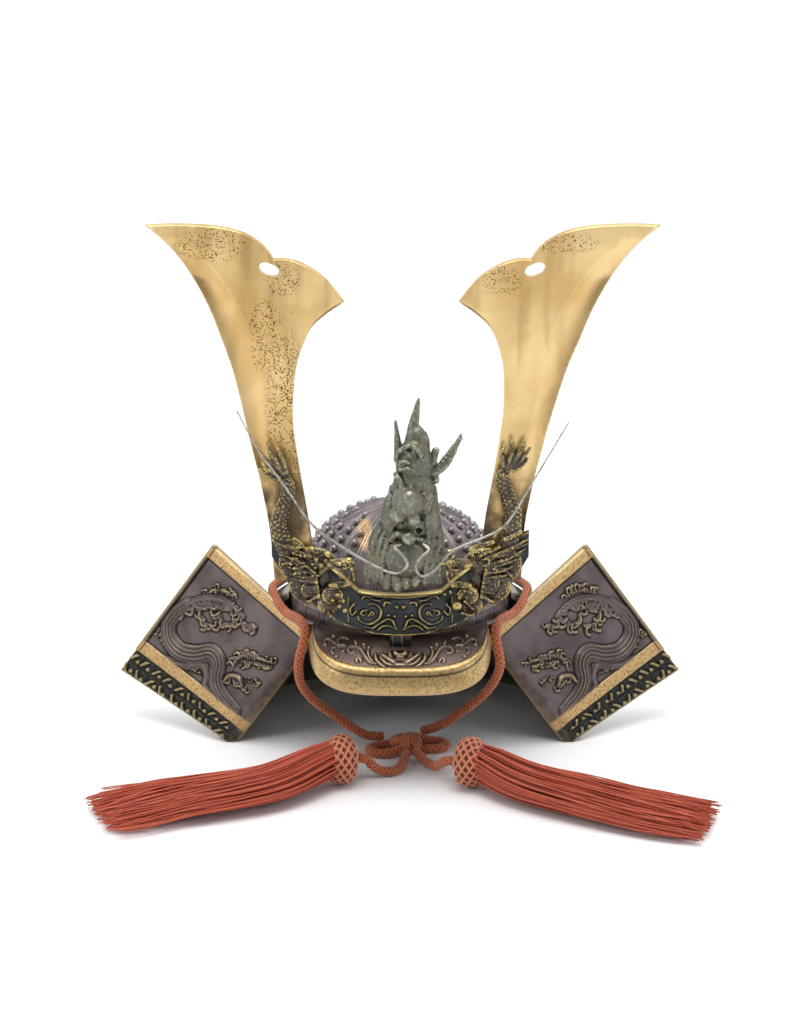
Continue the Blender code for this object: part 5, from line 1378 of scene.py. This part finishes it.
FLAMES = {
    "left": [[(-60.0, 0.8, 159.5), (-65.2, 1.2, 165.4), (-70.0, 1.0, 167.8), (-74.8, 0.6, 174.3)],
             [(-60.4, 0.8, 160.4), (-64.2, 1.4, 166.4), (-68.0, 1.2, 172.3), (-69.9, 0.6, 178.3)],
             [(-62.3, 0.8, 158.4), (-68.2, 1.2, 162.4), (-72.9, 0.6, 166.8)],
             [(-62.3, 0.8, 157.4), (-69.1, 1.0, 159.4), (-74.4, 0.6, 163.4)],
             [(-60.0, 0.8, 160.0), (-61.6, 1.4, 168.0), (-64.6, 0.6, 175.0)]],
    "right": [[(-55.7, 0.8, 163.0), (-58.1, 1.4, 170.3), (-58.7, 0.6, 179.8)],
              [(-56.7, 0.8, 163.4), (-61.5, 1.4, 170.3), (-65.4, 0.6, 178.8)],
              [(-57.7, 0.8, 162.9), (-63.4, 1.2, 168.3), (-68.4, 0.6, 175.3)],
              [(-54.8, 0.8, 163.4), (-53.2, 1.2, 171.3), (-55.1, 0.6, 176.3)],
              [(-58.2, 0.8, 162.0), (-63.5, 1.0, 165.0), (-67.3, 0.6, 169.3)]]}


def on_wall(point, side=1):
    """From sideways place, distance out of the wall and height to a point."""
    x, out, z = point
    return np.array([side * x, wall_y(np.float64(x)) - out, z])


def scales(turn, along):
    """Rows of overlapping scales round the body."""
    return 0.6 * np.abs(np.sin(3 * turn + math.pi * along / 2.6)) * np.abs(np.sin(3 * turn - math.pi * along / 2.6))


def medallion(x, z, side):
    """A scaled roundel with a rolled rim."""
    centre = on_wall((x, 4.6, z), side)
    turn = np.linspace(0, math.tau, 30)
    rim = centre + np.column_stack([3.4 * np.cos(turn), 0 * turn, 3.4 * np.sin(turn)])
    grains = [lump(centre + np.array([dx, -0.9, dz]), (0.6, 0.7, 0.6), 8, 10)
              for dx in (-1.6, 0.0, 1.6) for dz in (-1.6, 0.0, 1.6)]
    return [bar(rim, 0.75, 10), lump(centre, (3.0, 1.4, 3.0))] + grains


heads_parts = {}
for side_name, side, strands, balls, roundel in (("left", 1, LEFT_STRANDS, LEFT_BALLS, (-48.4, 98.3)),
                                                 ("right", -1, RIGHT_STRANDS, RIGHT_BALLS, (-48.5, 101.8))):
    shapes = [lump(on_wall(centre, side), radii) for centre, radii in HEAD_MASSES]
    facing = 1 if side == 1 else -1
    for root, tip, route in strands:
        shapes.append(roll([on_wall((facing * x, out, z), side) for x, out, z in route], root, tip))
    for radius, (x, out, z) in balls:
        shapes.append(lump(on_wall((facing * x, out, z), side), (radius, radius, radius)))
    for k in range(15):
        # The mane: rolls that fan out from the cheek to the ear's outer edge
        share = k / 14
        tip_point = (-68.0 + 17.0 * share ** 1.2, 0.6, 125.0 - 37.0 * share)
        root_point = (-45.0 + 3.0 * share, 5.2, 115.0 - 20.0 * share)
        middle = ((tip_point[0] + root_point[0]) / 2, 4.2, (tip_point[2] + root_point[2]) / 2 + 1.5 * math.sin(k * 2.3))
        shapes.append(roll([on_wall(p, side) for p in (root_point, middle, tip_point)], 1.35, 0.6))
    shapes.append(roll([on_wall(p, side) for p in BODY_ROUTES[side_name]], 5.0, 3.2, flat=0.55, relief=scales))
    for route in FLAMES[side_name]:
        shapes.append(roll([on_wall(p, side) for p in route], 1.9, 0.8, flat=0.8))
    shapes += medallion(roundel[0], roundel[1], side)
    head = pressed(f"dragon_head_{side_name}", shapes, 0.38, 1.0, 0.30, 0.28)
    raised_mask(head, "raised", 7, 0.30)
    finish_piece(head, head_iron, "horn_base")

# %% [markdown]
# The crest is a dragon seen from the front, cast in one grey-green piece. Its column widens into a
# mane of hanging tongues at the foot. The snout bulges over an open mouth; above stand the tall
# spike, a small one beside it and an antler.

# %% The dragon crest
CREST_Y, CREST_Z = -64.9, 99.85


def at_crest(x, forward, apparent):
    """From the photo's upright plane to a point further forward, which looks lower from above."""
    return np.array([x, CREST_Y - forward, apparent + 0.26 * (forward - 2.0)])


def crest_lump(x, forward, z, rx, ry, rz):
    return lump(at_crest(x, forward, z), (rx, ry, rz))


def crest_roll(root, tip, *route):
    return roll([at_crest(*p) for p in route], root, tip)


crest_shapes = [
    # The column and its flared foot
    crest_lump(7.0, 6.0, 168.0, 9.6, 8.0, 15.0), crest_lump(6.5, 7.0, 156.0, 11.0, 9.5, 13.0),
    crest_lump(5.0, 5.0, 140.0, 13.5, 9.5, 16.0), crest_lump(1.5, 4.5, 125.0, 18.5, 6.5, 19.0),
    crest_lump(2.5, 8.0, 120.0, 11.5, 7.5, 12.0), crest_lump(2.5, 3.5, 110.0, 17.5, 5.0, 8.5), crest_lump(8.0, 4.0, 180.0, 6.0, 5.0, 10.0),
    crest_lump(-4.5, 7.0, 141.0, 6.0, 6.5, 13.0), crest_lump(14.8, 7.0, 139.0, 6.0, 6.5, 13.0),
    # The spikes, the fanned ear, the antler, its knob and the small ball below
    crest_roll(4.4, 0.9, (6.2, 3.0, 178.0), (6.6, 3.0, 188.0), (8.0, 2.4, 196.0), (9.6, 2.0, 204.6)),
    crest_roll(2.9, 0.8, (-0.8, 3.0, 170.0), (-1.4, 3.0, 181.0), (-2.6, 2.5, 192.8)),
    crest_lump(11.6, 3.5, 178.5, 3.8, 3.6, 8.6),
    crest_roll(2.9, 1.1, (13.0, 5.0, 161.5), (18.0, 5.0, 165.0), (24.5, 4.0, 170.6), (31.8, 2.0, 185.5)),
    crest_roll(2.2, 1.8, (14.5, 5.0, 165.0), (16.8, 5.0, 170.0), (18.0, 4.5, 176.5)),
    crest_lump(18.3, 4.5, 176.2, 2.1, 1.9, 1.9), crest_lump(18.6, 6.0, 160.8, 1.9, 2.0, 2.2),
    # Brow, cheeks and snout
    crest_roll(1.5, 1.0, (-2.5, 10.0, 172.0), (0.5, 13.0, 176.5), (5.5, 13.0, 179.0)),
    crest_roll(1.5, 1.1, (12.0, 12.0, 171.0), (8.8, 13.5, 176.0), (5.5, 13.0, 179.0)),
    crest_roll(1.8, 1.2, (-3.0, 11.0, 164.5), (0.0, 14.5, 160.0), (1.0, 17.5, 154.0)),
    crest_roll(1.3, 0.9, (-0.5, 14.0, 166.0), (3.0, 15.5, 166.8), (5.0, 15.5, 165.6)),
    crest_roll(1.1, 0.8, (-0.6, 14.6, 169.5), (2.6, 15.4, 170.2), (4.6, 15.0, 169.0)),
    crest_lump(4.0, 14.0, 148.5, 8.6, 9.5, 9.6), crest_lump(-1.2, 16.5, 142.0, 4.4, 5.5, 5.0),
    crest_lump(6.9, 19.0, 140.0, 3.4, 4.4, 4.4), crest_lump(12.0, 12.0, 149.0, 5.2, 6.0, 7.4),
    crest_lump(4.5, 19.0, 149.5, 4.6, 5.0, 6.0),
    # Lower jaw with its ball, and the lip that runs to the left
    crest_lump(4.2, 18.5, 129.6, 3.9, 4.2, 3.9),
    crest_roll(2.2, 1.5, (-5.0, 12.0, 128.5), (-2.0, 15.5, 131.6), (2.6, 17.5, 131.5)),
    crest_roll(1.7, 1.2, (12.5, 11.0, 128.0), (10.0, 14.0, 129.0), (6.5, 17.0, 130.0))]
# The mane: wavy locks down both sides, and broad tongues along the foot
chance = np.random.default_rng(21)
for side, x_top, x_low in ((-1, -4.2, -17.5), (1, 17.0, 21.0)):
    for k in range(7):
        share = k / 6
        x0 = x_top + (-side) * 5.5 * share
        x2 = x_low + (-side) * 8.0 * share
        wave = 1.4 * math.sin(2.1 * k)
        crest_shapes.append(crest_roll(
            1.8, 1.3, (x0, 5.0 + 4.0 * share, 158.0 - 2.0 * k % 5), (x0 + side * 1.8 + wave, 6.0 + 6.0 * share, 143.0),
            ((x0 + x2) / 2 + side * 2.2 - wave, 6.0 + 5.0 * share, 129.0), (x2 + wave * 0.5, 5.0 + 4.0 * share, 114.0),
            (x2 - wave * 0.4, 3.5 + 3.5 * share, 104.5)))
for x, forward, z, wide, tall in ((-12.5, 4.0, 109.5, 2.6, 6.5), (-7.0, 6.0, 108.0, 3.4, 7.0), (-1.5, 7.5, 106.5, 3.2, 7.0),
                                  (3.0, 8.5, 107.5, 2.6, 6.0), (7.5, 8.0, 107.8, 3.0, 5.6), (13.0, 6.0, 109.5, 3.4, 6.0),
                                  (17.5, 3.5, 110.0, 2.2, 5.5)):
    crest_shapes.append(crest_lump(x, forward, z, wide, 2.4, tall))
for k in range(10):
    share = k / 9
    # Ribs of the fanned ear
    crest_shapes.append(crest_roll(0.55, 0.4, (9.5, 6.2, 173.5 + 8.5 * share), (12.5, 7.0, 174.5 + 9.0 * share),
                                   (15.0, 4.5, 172.5 + 8.0 * share)))
    # Rings round the antler
    ring = np.array([18.0, 5.0, 165.0]) * (1 - share) + np.array([30.6, 2.4, 182.6]) * share
    crest_shapes.append(crest_lump(ring[0], ring[1], ring[2], 2.4 - 0.8 * share, 2.4 - 0.8 * share, 0.9))


def hollow(target, places):
    """Press round hollows into a piece: sockets of the eyes and holes of the mouth."""
    spots = np.array([v.co[:] for v in target.data.vertices]) * 1000 - np.array([0, AXIS_Y * 1000, 0])
    for place, reach, depth in places:
        centre = at_crest(*place)
        flat = (spots - centre) * np.array([1.0, 0.45, 1.0])
        near = np.clip(1 - (flat ** 2).sum(1) / reach ** 2, 0, 1)
        spots[:, 1] += depth * near ** 0.7 * (spots[:, 1] < centre[1] + 6)
    target.data.vertices.foreach_set("co", to_metres(spots).ravel())
    target.data.update()


crest = pressed("dragon_crest_casting", crest_shapes, 0.50, 1.8, 0.80, 0.42)
hollow(crest, [((4.4, 13.0, 175.6), 1.7, 1.8), ((1.4, 17.0, 161.2), 1.5, 1.6), ((11.5, 12.0, 172.5), 1.2, 0.8),
               ((1.0, 19.0, 136.4), 2.4, 4.0), ((11.2, 17.0, 138.6), 2.0, 3.0), ((9.6, 16.0, 132.6), 2.2, 2.6)])
raised_mask(crest, "raised", 7, 0.34)
greening = np.array([v.co[:] for v in crest.data.vertices]) * 1000
attribute(crest, "moss", np.clip(0.5 + 0.5 * np.sin(greening[:, 2] * 0.19 + 0.6) * np.cos(greening[:, 0] * 0.21), 0, 1) * 0.55)
crest_grey = patina("crest_grey", (0.135, 0.135, 0.112), (0.030, 0.030, 0.026), (0.36, 0.36, 0.29),
                    0.20, 1.05, 0.42, moss=(0.20, 0.20, 0.11))
finish_piece(crest, crest_grey, "dragon_crest")

# %% [markdown]
# The whiskers are plain bent steel wire, hooked out of the mouth and drawn to a point. Each is one
# tapered bar along its route.

# %% The whiskers
WHISKER_LEFT = [(0.5, 19.0, 31.0), (-3.0, 21.0, 30.0), (1.0, 23.5, 26.5), (3.6, 24.5, 22.5), (1.8, 23.5, 18.5),
                (-4.0, 21.5, 16.2), (-15.0, 18.0, 20.0), (-29.0, 14.5, 27.5), (-45.5, 12.0, 39.5),
                (-60.5, 10.0, 61.0), (-73.5, 8.0, 79.0), (-84.0, 7.0, 99.0)]
WHISKER_RIGHT = [(11.5, 18.0, 31.0), (14.6, 21.0, 28.5), (10.5, 24.0, 25.5), (7.8, 24.5, 20.0), (11.0, 23.0, 15.0),
                 (16.2, 21.0, 16.5), (20.8, 19.5, 21.0), (26.0, 18.0, 26.5), (33.0, 16.0, 29.5),
                 (49.5, 13.0, 36.0), (57.8, 11.5, 44.0), (72.7, 9.5, 69.5), (86.5, 7.5, 93.0)]
wire = Finish("whisker_wire", Metallic=1.0)
wire_steel = wire.finish(wire.blend(wire.noise(420.0).step(0.42, 0.66), (0.46, 0.44, 0.40), (0.24, 0.22, 0.19)),
                         wire.noise(600.0) * 0.2 + 0.24, wire.noise(1800.0), 0.00005)
for side_name, route in (("left", WHISKER_LEFT), ("right", WHISKER_RIGHT)):
    line = smooth_line([(x, CREST_Y - forward, CREST_Z + up) for x, forward, up in route], 260)
    radius = np.interp(np.linspace(0, 1, 260), [0.0, 0.02, 0.45, 0.99, 1.0], [0.80, 0.86, 0.66, 0.34, 0.16])
    whisker = new_object(f"whisker_{side_name}_wire", bar(line, radius, 12))
    finish_piece(whisker, wire_steel, f"whisker_{side_name}")
